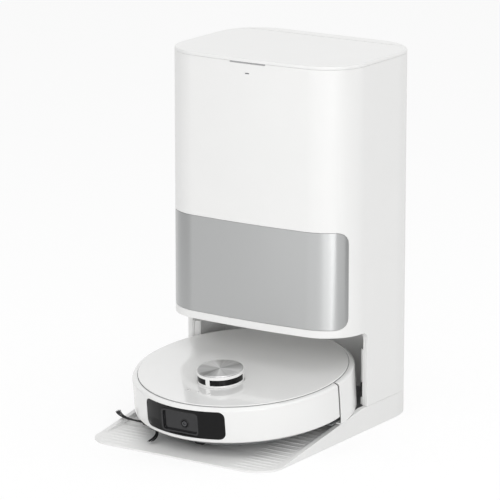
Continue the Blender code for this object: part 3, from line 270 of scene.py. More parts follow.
PRINT = Finish("printed_mark", Tone.MARK_GREY, 0.50)
# Painted shadow: a grey that stands in for the shade in the joint under the cover's edge.
PAINTED_SEAM_SHADOW = Finish("seam_shadow", Tone.SEAM_SHADE, 0.70)
# Painted shadow: a grey that stands in for the shade in the finger slot under the lid's lip.
SLOT_PAINTED_SHADOW = Finish("finger_slot_painted_shadow", Tone.SLOT_SHADE, 0.80)


# ---- mesh work -------------------------------------------------------------------------------
def put(name: str, mesh: bpy.types.Mesh, finish: Finish, body: str, *replaced: str) -> bpy.types.Object:
    """Link a mesh whose place is in its points, give it a finish and let it ride on a body.

    Args:
        name: the piece's name.
        mesh: its mesh, in the frame's own coordinates.
        finish: the finish that it wears.
        body: the body that carries it.
        replaced: CAD nodes that it stands for.

    Returns:
        The new piece.
    """
    piece = bpy.data.objects.new(name, mesh)
    bpy.context.scene.collection.objects.link(piece)
    mesh.materials.clear()
    mesh.materials.append(finish.material())
    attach(piece, body)
    if replaced:
        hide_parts(*replaced)
    LOG.info("%s on %s: %d points", name, body, len(mesh.vertices))
    return piece


def surface(name: str, points: np.ndarray, wrap_u: bool = True, wrap_v: bool = True,
            smooth_deg: float = 40.0, matrix: Optional[Matrix] = None,
            around: bool = False) -> bpy.types.Mesh:
    """Make a closed mesh from one or more grids of points: quads between neighbours, doubles merged.

    Args:
        name: the mesh's name.
        points: array of shape (u, v, 3), or (many, u, v, 3) for as many separate shapes.
        wrap_u: whether the last row joins the first.
        wrap_v: whether the last column joins the first.
        smooth_deg: edges sharper than this stay sharp.
        matrix: where the grid stands in the frame.
        around: whether to add the UV map "around", whose U runs along u.

    Returns:
        The mesh, facing outwards.
    """
    grids = points if points.ndim == 4 else points[None]
    many, nu, nv = grids.shape[:3]
    uu, vv = np.meshgrid(np.arange(nu if wrap_u else nu - 1), np.arange(nv if wrap_v else nv - 1),
                         indexing="ij")
    u1, v1 = (uu + 1) % nu, (vv + 1) % nv
    quads = np.stack([uu * nv + vv, u1 * nv + vv, u1 * nv + v1, uu * nv + v1], axis=-1).reshape(-1, 4)
    quads = (quads[None] + (np.arange(many) * nu * nv)[:, None, None]).reshape(-1, 4)
    mesh = bpy.data.meshes.new(name)
    mesh.vertices.add(many * nu * nv)
    mesh.vertices.foreach_set("co", grids.reshape(-1).astype(np.float32))
    mesh.loops.add(quads.size)
    mesh.loops.foreach_set("vertex_index", quads.reshape(-1).astype(np.int32))
    mesh.polygons.add(len(quads))
    mesh.polygons.foreach_set("loop_start", np.arange(0, quads.size, 4, dtype=np.int32))
    mesh.update(calc_edges=True)
    if around:
        layer = mesh.uv_layers.new(name="around")
        turn = np.stack([uu, uu + 1, uu + 1, uu], axis=-1).reshape(-1) / nu
        across = np.stack([vv, vv, vv + 1, vv + 1], axis=-1).reshape(-1) / nv
        layer.data.foreach_set("uv", np.stack([turn, across], axis=-1).reshape(-1).astype(np.float32))
    bm = bmesh.new()
    bm.from_mesh(mesh)
    bmesh.ops.remove_doubles(bm, verts=bm.verts, dist=MERGE)
    bmesh.ops.dissolve_degenerate(bm, edges=bm.edges, dist=MERGE / 20)
    open_edges = [edge for edge in bm.edges if edge.is_boundary]
    if open_edges:
        bmesh.ops.holes_fill(bm, edges=open_edges, sides=0)
    bmesh.ops.recalc_face_normals(bm, faces=bm.faces)
    if matrix is not None:
        bm.transform(matrix)
    bm.to_mesh(mesh)
    bm.free()
    mesh.shade_smooth()
    mesh.set_sharp_from_angle(angle=math.radians(smooth_deg))
    return mesh


def lathe(name: str, profile: Sequence[tuple[float, float]], count: int = 128,
          centre: Sequence[float] = (0.0, 0.0, 0.0), axis: Axis = Axis.Z,
          angles: Optional[tuple[float, float]] = None, matrix: Optional[Matrix] = None,
          around: bool = False, smooth_deg: float = 40.0) -> bpy.types.Mesh:
    """Turn a (radius, height) profile about an axis.

    A point at angle a lies at radius * cos(a) and radius * sin(a) on the two other axes, and at its
    height along the axis. A closed profile gives a ring; one that starts and ends on the axis gives
    a solid.

    Args:
        name: the mesh's name.
        profile: (radius, height) points in order.
        count: steps round the turn.
        centre: a point on the axis, from which heights run.
        axis: the line that the profile turns about.
        angles: first and last angle in degrees, for a part of a turn.
        matrix: where the piece stands in the frame.
        around: whether the mesh gets the UV map "around".
        smooth_deg: edges sharper than this stay sharp.

    Returns:
        The mesh.
    """
    outline = np.array(profile, float)
    full = angles is None
    start, end = (0.0, 360.0) if full else angles
    a = np.radians(np.linspace(start, end, count, endpoint=not full))
    k, i, j = axis.value
    points = np.zeros((count, len(outline), 3))
    points[:, :, i] = outline[:, 0] * np.cos(a)[:, None]
    points[:, :, j] = outline[:, 0] * np.sin(a)[:, None]
    points[:, :, k] = outline[:, 1]
    points += np.array(centre)
    solid = outline[0, 0] < 1e-9 and outline[-1, 0] < 1e-9
    return surface(name, points, full, not solid, smooth_deg, matrix, around)


def arc(centre: tuple[float, float], radius: float, start: float, end: float,
        count: int = 6) -> list[tuple[float, float]]:
    """Points of an arc at equal angle steps, in degrees anticlockwise from the first axis."""
    a = np.radians(np.linspace(start, end, count + 1))
    return list(zip(centre[0] + radius * np.cos(a), centre[1] + radius * np.sin(a)))


def tubes(paths: np.ndarray, radii: np.ndarray, sides: int = 5) -> np.ndarray:
    """Rings of points round many paths; a radius of 0 at an end closes it to a point.

    Each ring lies across its path, on two directions square to the path's run.

    Args:
        paths: array (many, n, 3) of points along the tubes.
        radii: array (n,) of radii along each.
        sides: points round each ring.

    Returns:
        Array (many, n, sides, 3).
    """
    along = np.gradient(paths, axis=1)
    along /= np.linalg.norm(along, axis=-1, keepdims=True)
    side = np.cross(along, np.array([0.0, 0.0, 1.0]))
    flat = np.linalg.norm(side, axis=-1, keepdims=True)
    side = np.where(flat > 1e-6, side / np.maximum(flat, 1e-6), np.array([1.0, 0.0, 0.0]))
    up = np.cross(side, along)
    a = np.linspace(0, 2 * np.pi, sides, endpoint=False)[None, None, :, None]
    ring = np.cos(a) * side[:, :, None] + np.sin(a) * up[:, :, None]
    return paths[:, :, None] + radii[None, :, None, None] * ring


def refined(node: str, finish: Finish, edge_mm: float = 0.5, segments: int = 3,
            limit_deg: float = 38.0, name: Optional[str] = None) -> bpy.types.Object:
    """Stand a softened copy in for a CAD node: doubles merged, flats joined, edges rounded.

    Args:
        node: the CAD node.
        finish: the finish that the copy wears.
        edge_mm: radius of its rounded edges, or 0 for none.
        segments: steps across a rounded edge.
        limit_deg: edges sharper than this are rounded.
        name: the piece's name, if not the node's with "_skin".

    Returns:
        The new piece.
    """
    mesh = frame["nodes"][node].data.copy()
    bm = bmesh.new()
    bm.from_mesh(mesh)
    bmesh.ops.remove_doubles(bm, verts=bm.verts, dist=1e-6)
    bmesh.ops.dissolve_limit(bm, angle_limit=math.radians(0.6), verts=bm.verts, edges=bm.edges)
    bm.to_mesh(mesh)
    bm.free()
    mesh.shade_smooth()
    mesh.set_sharp_from_angle(angle=math.radians(limit_deg))
    piece = put(name or f"{node}_skin", mesh, finish, BODY_OF[node], node)
    if edge_mm:
        bevel = piece.modifiers.new("edges", "BEVEL")
        bevel.limit_method = "ANGLE"
        bevel.angle_limit = math.radians(limit_deg)
        bevel.width = edge_mm * MM
        bevel.segments = segments
        bevel.miter_outer = "MITER_ARC"
        bevel.harden_normals = False
    weight = piece.modifiers.new("flats", "WEIGHTED_NORMAL")
    weight.keep_sharp = True
    weight.weight = 80
    return piece


@dataclass(frozen=True)
class RobotFrame:
    """The robot's own upright frame: its origin is on its floor plane, under its centre."""

    floor_clearance: float = 0.3 * MM

    def matrix(self) -> Matrix:
        """Work the frame out from the turret's axis and the drive wheels' axles."""
        up = Vector(JOINTS["lidar_spin"]["axis"]).normalized()
        right = Vector((1.0, 0.0, 0.0))
        back = up.cross(right)
        left_axle = Vector(JOINTS["wheel_spin_left"]["pos_m"])
        right_axle = Vector(JOINTS["wheel_spin_right"]["pos_m"])
        low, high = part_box("wheel_left")
        foot = (left_axle + right_axle) / 2 - up * ((high.z - low.z) / 2 + self.floor_clearance)
        turned = Matrix((right, back, up)).transposed().to_4x4()
        return Matrix.Translation(foot) @ turned


ROBOT = RobotFrame().matrix()


def local_box(node: str) -> tuple[Vector, Vector]:
    """Lowest and highest corner of a CAD node in the robot's frame."""
    inverse = ROBOT.inverted()
    points = np.array([inverse @ v.co for v in frame["nodes"][node].data.vertices])
    return Vector(points.min(axis=0)), Vector(points.max(axis=0))


# ---- the station -----------------------------------------------------------------------------
@dataclass
class Tower:
    """The white tower with its trim, lid, silver panel and lined bay."""

    soft_edge_mm: float = 0.9
    slot_half_width: float = 32.6 * MM
    slot_height: float = 2.0 * MM
    slot_depth: float = 2.9 * MM
    slot_shadow_thickness: float = 0.6 * MM

    def slot(self) -> bpy.types.Mesh:
        """Painted shadow at the back of the finger slot: a flat grey bar under the lid's front edge, where the
        slot's shade falls.
        """
        shell = np.array([v.co for v in frame["nodes"]["tower_shell"].data.vertices])
        y, z = shell[:, 1].min() + self.slot_depth - self.slot_shadow_thickness, shell[:, 2].max()
        x = np.linspace(-self.slot_half_width, self.slot_half_width, 9)
        ring = np.array([(y, z), (y, z - self.slot_height), (y + self.slot_shadow_thickness, z - self.slot_height),
                         (y + self.slot_shadow_thickness, z)])
        grid = np.zeros((len(x), 4, 3))
        grid[..., 0] = x[:, None]
        grid[..., 1:] = ring[None]
        grid = np.concatenate([grid[:1], grid, grid[-1:]])
        for end in (0, -1):
            grid[end] = grid[end].mean(axis=0)
        return surface("finger_slot_shadow_bar", grid, False, True, 30.0)

    def build(self) -> None:
        """Stand finer copies in for the outer shells."""
        refined("tower_shell", ABS_WHITE, self.soft_edge_mm)
        refined("bay_liner", ABS_BAY, 0.8)
        refined("rear_top_trim", ABS_WHITE, 0.4)
        refined("top_lid", ABS_WHITE, 0.5)
        panel = refined("front_panel", SATIN_SILVER, 0.6)
        layer = panel.data.uv_layers.new(name="around")
        corners = np.array([v.co for v in panel.data.vertices])
        loops = np.zeros(len(panel.data.loops), dtype=np.int32)
        panel.data.loops.foreach_get("vertex_index", loops)
        layer.data.foreach_set("uv", corners[loops][:, [2, 0]].reshape(-1).astype(np.float32))
        # A grey bar paints the shadow at the back of the finger slot.
        put("finger_slot_shadow_bar", self.slot(), SLOT_PAINTED_SHADOW, "station")
        refined("lid_hinge_pin", STEEL, 0.0)
        refined("status_light", PRINT, 0.0)
        refined("power_inlet", NYLON, 0.5)
        for side in ("left", "right"):
            refined(f"side_guide_{side}", ABS_BAY, 0.5)
            refined(f"contact_block_{side}", NYLON, 0.5)


@dataclass
class Tray:
    """The base tray: a thin plate with ribbed wheel tracks, and the washboard under the mops."""

    rib_pitch: float = 12.5 * MM
    rib_half_width: float = 3.0 * MM
    rib_height: float = 0.45 * MM
    bar_pitch: float = 10.0 * MM
    bar_half_width: float = 1.4 * MM
    track_inner: float = 94 * MM
    track_outer: float = 158 * MM
    margin: float = 6 * MM
    corner_radius: float = 45 * MM
    ramp_clearance: float = 0.5 * MM
    front_plate: float = 3.0 * MM
    track_end_y: float = 58 * MM
    rib_steps: int = 10

    def height(self, y: np.ndarray) -> np.ndarray:
        """Height of the tray's upper face: the flat front plate, then the ramp under the robot."""
        origin, up = ROBOT.translation, ROBOT.col[2].to_3d()
        ramp = origin.z - self.ramp_clearance / up.z - (y - origin.y) * up.y / up.z
        return np.maximum(self.front_plate, ramp)

    def ribs(self) -> bpy.types.Mesh:
        """Cross bars of both tracks: flat-topped ellipses along X that sink away at their ends."""
        low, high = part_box("base_tray")
        y = np.arange(low.y + self.margin, self.track_end_y, self.rib_pitch)
        half_width = (high.x - low.x) / 2
        corner = np.clip(low.y + self.corner_radius - y, 0, None)
        reach = half_width - self.corner_radius + np.sqrt(self.corner_radius ** 2 - corner ** 2)
        outer = np.minimum(self.track_outer, reach - self.margin)
        t = (1 - np.cos(np.linspace(0, np.pi, self.rib_steps))) / 2
        ease = np.sin(np.pi * t) ** 0.35
        ease[[0, -1]] = 0.0
        a = np.linspace(0, 2 * np.pi, 10, endpoint=False)
        shapes = []
        for side in (-1, 1):
            x = side * (self.track_inner + (outer - self.track_inner)[:, None] * t[None])
            grid = np.zeros((len(y), len(t), len(a), 3))
            grid[..., 0] = x[:, :, None]
            grid[..., 1] = y[:, None, None] + self.rib_half_width * ease[None, :, None] * np.cos(a)
            lift = np.clip(1.6 * np.sin(a), -0.25, 1.0) * self.rib_height * ease[None, :, None]
            grid[..., 2] = self.height(grid[..., 1]) + lift
            shapes.append(grid)
        return surface("tray_ribs", np.concatenate(shapes), wrap_u=False)

    def washboard(self) -> bpy.types.Mesh:
        """The washboard's scrubbing bars: round bars along Y that rise from the sloping board."""
        low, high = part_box("washboard")
        x = np.arange(low.x + self.margin, high.x - self.margin, self.bar_pitch)
        t = np.linspace(0, 1, self.rib_steps)
        ease = np.sin(np.pi * t) ** 0.5
        ease[[0, -1]] = 0.0
        y = low.y + self.margin + (high.y - low.y - 2 * self.margin) * t
        top = self.board_top(y)
        a = np.linspace(0, 2 * np.pi, 8, endpoint=False)
        grid = np.zeros((len(x), len(t), len(a), 3))
        grid[..., 0] = x[:, None, None] + self.bar_half_width * ease[None, :, None] * np.cos(a)
        grid[..., 1] = y[None, :, None]
        grid[..., 2] = top[None, :, None] + self.rib_height * ease[None, :, None] * np.sin(a)
        return surface("washboard_bars", grid, wrap_u=False)

    def board_top(self, y: np.ndarray) -> np.ndarray:
        """Height of the washboard's top at each y, between its upper corners' points."""
        points = np.array([v.co for v in frame["nodes"]["washboard"].data.vertices])
        steps = np.unique(points[:, 1].round(5))
        tops = [points[np.abs(points[:, 1] - s) < 1e-4, 2].max() for s in steps]
        return np.interp(y, steps, tops)

    def build(self) -> None:
        """Dress the tray, its ribs, the washboard and the rubber strips."""
        refined("base_tray", ABS_TRAY, 0.5)
        put("tray_ribs", self.ribs(), ABS_TRAY, "station")
        refined("washboard", INNER_ABS, 0.5)
        put("washboard_bars", self.washboard(), INNER_ABS, "station")
        for side in ("left", "right"):
            refined(f"foot_strip_{side}", RUBBER, 0.3)


@dataclass
class Tanks:
    """What the tower holds: two tanks, the dust compartment with its bag, motor and board."""

    bag_steps: int = 72
    bag_power: float = 0.22
    crease: float = 0.9 * MM

    def bag(self) -> bpy.types.Mesh:
        """A filled fleece bag: a box with swollen faces, whose flanks are creased.

        With s(a, p) = sign(sin a) |sin a|^p and c(a, p) likewise, a point is c(lat) c(lon), c(lat)
        s(lon) and s(lat) times the half sizes, pulled in along the flanks by a wave.
        """
        low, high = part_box("dust_bag")
        middle, half = np.array((low + high) / 2), np.array((high - low) / 2) - self.crease
        lat = np.linspace(-np.pi / 2, np.pi / 2, self.bag_steps // 2)
        lon = np.linspace(0, 2 * np.pi, self.bag_steps * 2, endpoint=False)

        def power(value: np.ndarray) -> np.ndarray:
            """Keep the sign and raise the size, which squares a circle off."""
            return np.sign(value) * np.abs(value) ** self.bag_power

        across, rise = power(np.cos(lat)), power(np.sin(lat))
        unit = np.zeros((len(lat), len(lon), 3))
        unit[..., 0] = across[:, None] * power(np.cos(lon))
        unit[..., 1] = across[:, None] * power(np.sin(lon))
        unit[..., 2] = rise[:, None]
        wave = np.sin(9 * lon)[None] * np.cos(5 * lat)[:, None] + 0.6 * np.sin(17 * lon + 1)[None]
        crown = 1 - 0.05 * (1 - np.abs(rise))[:, None] ** 2 * (1 + 0.3 * wave)
        points = middle + unit * half * np.where(np.abs(unit) > 0.99, 1.0, crown[..., None])
        points += unit * self.crease * wave[..., None] * 0.4
        return surface("dust_bag_fleece", points, wrap_u=False)

    def build(self) -> None:
        """Dress the pieces inside the tower."""
        for kind in ("clean", "dirty"):
            refined(f"{kind}_tank", TANK_PC, 0.6)
            refined(f"{kind}_tank_lid", INNER_ABS, 0.8)
        refined("tank_deck", INNER_ABS, 0.5)
        refined("dust_compartment", INNER_ABS, 0.6)
        refined("dust_motor", NYLON, 0.5)
        refined("dust_impeller", NYLON, 0.2)
        refined("control_board", BOARD, 0.0)
        bag = put("dust_bag_fleece", self.bag(), FLEECE, BODY_OF["dust_bag"], "dust_bag")


# ---- the robot -------------------------------------------------------------------------------
@dataclass
class RobotSkin:
    """Bumper, rear skin, glossy cover, turret with its spun disc, and the three keys."""

    disc_edge: float = 0.8 * MM
    disc_steps: int = 256
    icon_line: float = 0.42 * MM
    icon_lift: float = 0.04 * MM
    icon_half: float = 1.35 * MM
    window_inset: float = 0.5 * MM
    window_wall: float = 1.0 * MM
    window_half_angle: float = 110.0
    slot_drop: float = 14.0 * MM
    slot_height: float = 9.5 * MM
    seam_shadow_width: float = 0.7 * MM

    def disc(self) -> bpy.types.Mesh:
        """The turned cap: a flat face with a rolled edge."""
        low, high = local_box("lidar_cap")
        radius, edge = (high.x - low.x) / 2, self.disc_edge
        outer = arc((radius - edge, high.z - low.z - edge), edge, 0, 90)
        rings = [(r, high.z - low.z) for r in np.linspace(radius - edge, 0, 16)[1:]]
        profile = [(0.0, 0.0), (radius - 0.3 * MM, 0.0), (radius, 0.3 * MM)] + outer + rings
        centre = ((low.x + high.x) / 2, (low.y + high.y) / 2, low.z)
        return lathe("lidar_disc", profile, self.disc_steps, centre, matrix=ROBOT, around=True)

    def slot_windows(self) -> bpy.types.Mesh:
        """Dark bands that fill the turret's two slots, a little inside its wall."""
        low, high = local_box("turret_cage")
        centre = ((low.x + high.x) / 2, (low.y + high.y) / 2, 0.0)
        outer = (high.x - low.x) / 2 - self.window_inset
        inner = outer - self.window_wall
        z0, z1 = high.z - self.slot_drop, high.z - self.slot_drop + self.slot_height
        profile = [(outer, z0), (outer, z1), (inner, z1), (inner, z0)]
        half = self.window_half_angle
        return lathe("turret_windows", profile, 96, centre, angles=(-90 - half, -90 + half), matrix=ROBOT)

    def painted_seam_shadow(self, name: str, body: str, angles: tuple[float, float]) -> None:
        """Painted shadow: a thin grey ring under the cover's edge, standing in for the shade in the joint."""
        low, high = local_box("top_cover")
        r, z = (high.x - low.x) / 2, low.z
        profile = [(r - 1.0 * MM, z - 0.45 * MM), (r + self.seam_shadow_width, z - 0.45 * MM),
                   (r + self.seam_shadow_width, z - 0.1 * MM), (r - 1.0 * MM, z - 0.1 * MM)]
        put(name, lathe(name, profile, 180, angles=angles, matrix=ROBOT), PAINTED_SEAM_SHADOW, body)

    def icon(self, kind: int) -> np.ndarray:
        """A tiny round mark as one closed line: a plain ring whose sides draw in kind times."""
        a = np.linspace(0, 2 * np.pi, 48, endpoint=False)
        r = self.icon_half * (0.86 + 0.14 * np.cos(kind * a))
        return np.stack([r * np.cos(a), r * np.sin(a), np.zeros_like(a)], axis=-1)

    def icons(self) -> None:
        """Raised line marks on the three keys, each on its key's body."""
        for kind, (node, body) in enumerate((("dock_button", "dock_key"), ("power_button", "power_key"),
                                             ("spot_button", "spot_key"))):
            low, high = local_box(node)
            centre = np.array([(low.x + high.x) / 2, (low.y + high.y) / 2, high.z])
            a = np.linspace(0, 2 * np.pi, 6, endpoint=False)
            path = self.icon(kind)
            out = path / np.linalg.norm(path, axis=-1, keepdims=True)
            grid = path[:, None] + self.icon_line * np.cos(a)[None, :, None] * out[:, None]
            grid[..., 2] += self.icon_lift * np.sin(a)[None]
            mesh = surface(f"{node}_mark", grid + centre, matrix=ROBOT)
            put(f"{node}_mark", mesh, PRINT, body)

    def build(self) -> None:
        """Dress the outer skin."""
        refined("bumper", BUMPER_GLOSS, 0.5)
        refined("rear_shell", BUMPER_GLOSS, 0.5)
        refined("top_cover", COVER_GLOSS, 0.35)
        refined("upper_deck", INNER_ABS, 0.4)
        refined("turret_cage", BUMPER_GLOSS, 0.4)
        refined("lidar_head", BLACK_GLASS, 0.3)
        put("turret_windows", self.slot_windows(), BLACK_GLASS, "robot")
        # Painted shadow of the joint round the cover's edge, on the bumper at the front and on the body at the
        # rear.
        self.painted_seam_shadow("cover_seam_shadow_front", "bumper_group", (-179.0, -1.0))
        self.painted_seam_shadow("cover_seam_shadow_rear", "robot", (1.0, 179.0))
        # The spun disc's base colour carries painted reflection fans.
        put("lidar_disc", self.disc(), SPUN_ALUMINIUM_PAINTED_FANS, "robot", "lidar_cap")
        for node in ("power_button", "dock_button", "spot_button"):
            refined(node, BUMPER_GLOSS, 0.25)
        self.icons()


@dataclass
class CameraEye:
    """The black window on the bumper with the camera block, its lens and the range sensor."""

    bezel_radius: float = 7.2 * MM
    bezel_wire: float = 0.55 * MM
    iris_radius: float = 3.1 * MM
    iris_wire: float = 0.55 * MM
    glint_radius: float = 0.8 * MM
    sensor_angle: float = -24.0
    sensor_height: float = 38 * MM
    sensor_radius: float = 3.6 * MM
    sensor_depth: float = 0.3 * MM

    def bezel(self) -> bpy.types.Mesh:
        """A ring of round wire round the lens."""
        low, high = local_box("camera_lens")
        centre = ((low.x + high.x) / 2, low.y + 0.6 * MM, (low.z + high.z) / 2)
        ring = arc((self.bezel_radius, 0.0), self.bezel_wire, 0, 345, 11)
        return lathe("lens_bezel", ring, 64, centre, Axis.Y, matrix=ROBOT)

    def iris(self) -> bpy.types.Mesh:
        """A pale ring inside the lens's front."""
        low, high = local_box("camera_lens")
        centre = ((low.x + high.x) / 2, low.y, (low.z + high.z) / 2)
        ring = arc((self.iris_radius, 0.0), self.iris_wire, 0, 345, 11)
        return lathe("lens_iris", ring, 64, centre, Axis.Y, matrix=ROBOT)

    def glint_dome(self) -> bpy.types.Mesh:
        """Painted highlight: a grey dome in the middle of the lens that stands in for the bright glint on its
        glass.
        """
        low, high = local_box("camera_lens")
        centre = ((low.x + high.x) / 2, low.y, (low.z + high.z) / 2)
        r = self.glint_radius
        profile = [(0.0, 0.3 * r), (r, 0.3 * r)] + arc((0.0, 0.0), r, 0, -90)[1:-1] + [(0.0, -r)]
        return lathe("lens_glint_dome", profile, 32, centre, Axis.Y, matrix=ROBOT)

    def sensor(self) -> bpy.types.Mesh:
        """A shallow round glass set on the window, square to its curve."""
        low, high = local_box("camera_window")
        radius = -low.y
        place = (Matrix.Rotation(math.radians(self.sensor_angle), 4, "Z")
                 @ Matrix.Translation((0.0, -radius, self.sensor_height)))
        r, d = self.sensor_radius, self.sensor_depth
        profile = [(0.0, d), (r, d), (r, 0.0), (r - 0.5 * MM, -0.4 * d), (r * 0.5, -0.55 * d),
                   (0.0, -0.6 * d)]
        return lathe("range_sensor", profile, 48, (0.0, 0.0, 0.0), Axis.Y, matrix=ROBOT @ place)

    def build(self) -> None:
        """Dress the window and add the small optics."""
        refined("camera_window", BLACK_GLASS, 0.5)
        refined("camera_block", CAMERA_PLASTIC, 0.7)
        refined("camera_lens", BLACK_GLASS, 0.15)
        put("lens_bezel", self.bezel(), CAMERA_PLASTIC, "bumper_group")
        put("lens_iris", self.iris(), LENS_RING_AND_GLINT, "bumper_group")
        # The glint dome is a painted highlight on the lens.
        put("lens_glint_dome", self.glint_dome(), LENS_RING_AND_GLINT, "bumper_group")
        put("range_sensor", self.sensor(), CAMERA_PLASTIC, "bumper_group")


@dataclass
class SideBrush:
    """The side brush: a rubber hub with two curved tufts of nylon that flare at their tips."""

    strands: int = 44
    strand_radius: float = 0.30 * MM
    root_half: float = 1.1 * MM
    tip_half: float = 5.2 * MM
    sweep: float = math.radians(24)
    angles: tuple[float, ...] = (164.4, 305.2)
    length: float = 80.8 * MM
    boot_length: float = 22 * MM
    path_steps: int = 14

    def centre_line(self, angle: float, start: float, t: np.ndarray) -> tuple[np.ndarray, np.ndarray]:
        """Angle and radius of a tuft's middle line: it leaves the hub and sweeps on towards its tip."""
        return math.radians(angle) - self.sweep * (t ** 1.5 - 1), start + (self.length - start) * t

    def build(self) -> None:
        """Make the tufts, their rubber boots and the hub."""
        hub_low, hub_high = local_box("side_brush_hub")
        low, high = local_box("side_brush_bristles")
        hub = np.array(ROBOT.inverted() @ Vector(JOINTS["side_brush_spin"]["pos_m"]))
        hub_radius = (hub_high.x - hub_low.x) / 2
        t = np.linspace(0, 1, self.path_steps)
        rng = np.random.default_rng(7)
        paths, boots = [], []
        for angle in self.angles:
            a, r = self.centre_line(angle, hub_radius * 0.7, t)
            share = np.linspace(-1, 1, self.strands)
            level = low.z + (high.z - low.z) * rng.random(self.strands)
            half = self.root_half + (self.tip_half - self.root_half) * t[None] ** 2
            off = share[:, None] * half
            stretch = 1 - 0.03 * rng.random(self.strands)[:, None] - 0.02 * share[:, None] ** 2
            x = hub[0] + r[None] * stretch * np.cos(a)[None] - off * np.sin(a)[None]
            y = hub[1] + r[None] * stretch * np.sin(a)[None] + off * np.cos(a)[None]
            z = np.broadcast_to(level[:, None], x.shape)
            paths.append(np.stack([x, y, z], axis=-1))
            a, r = self.centre_line(angle, hub_radius * 0.8, t * self.boot_length / self.length)
            boots.append(np.stack([hub[0] + r * np.cos(a), hub[1] + r * np.sin(a),
                                   np.full_like(a, (low.z + high.z) / 2)], axis=-1))
        radii = np.full(self.path_steps, self.strand_radius)
        radii[[0, -1]] = 0.0
        strands = surface("side_brush_tufts", tubes(np.concatenate(paths), radii, 4), wrap_u=False,
                          matrix=ROBOT)
        put("side_brush_tufts", strands, NYLON, "side_brush", "side_brush_bristles")
        boot_radii = np.interp(t, [0, 0.05, 0.9, 1], [0, 2.1, 1.5, 0]) * MM
        boot = surface("side_brush_boots", tubes(np.stack(boots), boot_radii, 10), wrap_u=False,
                       matrix=ROBOT)
        put("side_brush_boots", boot, RUBBER, "side_brush")
        refined("side_brush_hub", RUBBER, 0.5)
        refined("side_brush_motor", INNER_ABS, 0.4)


@dataclass
class MainBrush:
    """The main brush: a core with helical rubber fins and rows of bristle between them."""

    fins: int = 6
    twist: float = math.radians(120)
    core_share: float = 0.62
    fin_sharpness: float = 26.0
    turn_steps: int = 168
    length_steps: int = 72

    def roller(self) -> bpy.types.Mesh:
        """Radius at angle a and place x: the core, plus a fin where cos(fins (a - twist |x|)) peaks."""
        low, high = local_box("main_brush")
        middle, half = (low + high) / 2, (high.x - low.x) / 2
        radius = (high.z - low.z) / 2
        body = half - 5.5 * MM
        shaft = 3.0 * MM
        x = np.linspace(-body, body, self.length_steps)
        a = np.linspace(0, 2 * np.pi, self.turn_steps, endpoint=False)
        peak = 0.5 + 0.5 * np.cos(self.fins * (a[None] - self.twist * np.abs(x)[:, None] / body))
        tuft = 0.5 + 0.5 * np.cos(self.fins * (a[None] - self.twist * np.abs(x)[:, None] / body) + np.pi)
        rows = 0.8 * tuft ** self.fin_sharpness * (0.6 + 0.4 * np.cos(x[:, None] * 2 * np.pi / (3.4 * MM)))
        core = self.core_share * radius
        r = core + (radius - core) * np.maximum(peak ** self.fin_sharpness, rows)
        rings = [np.zeros(len(a)), np.full(len(a), shaft), np.full(len(a), shaft)]
        x_all = np.concatenate([[-half, -half, -body], x, [body, half, half]])
        r_all = np.vstack([*rings, r, *rings[::-1]])
        grid = np.stack([np.broadcast_to(x_all[:, None], r_all.shape), r_all * np.cos(a)[None],
                         r_all * np.sin(a)[None]], axis=-1)
        return surface("main_brush_roller", grid + np.array(middle), wrap_u=False, matrix=ROBOT)

    def build(self) -> None:
        """Make the roller and dress its guard."""
        put("main_brush_roller", self.roller(), RUBBER, "roller_brush", "main_brush")
        refined("brush_guard", INNER_ABS, 0.5)


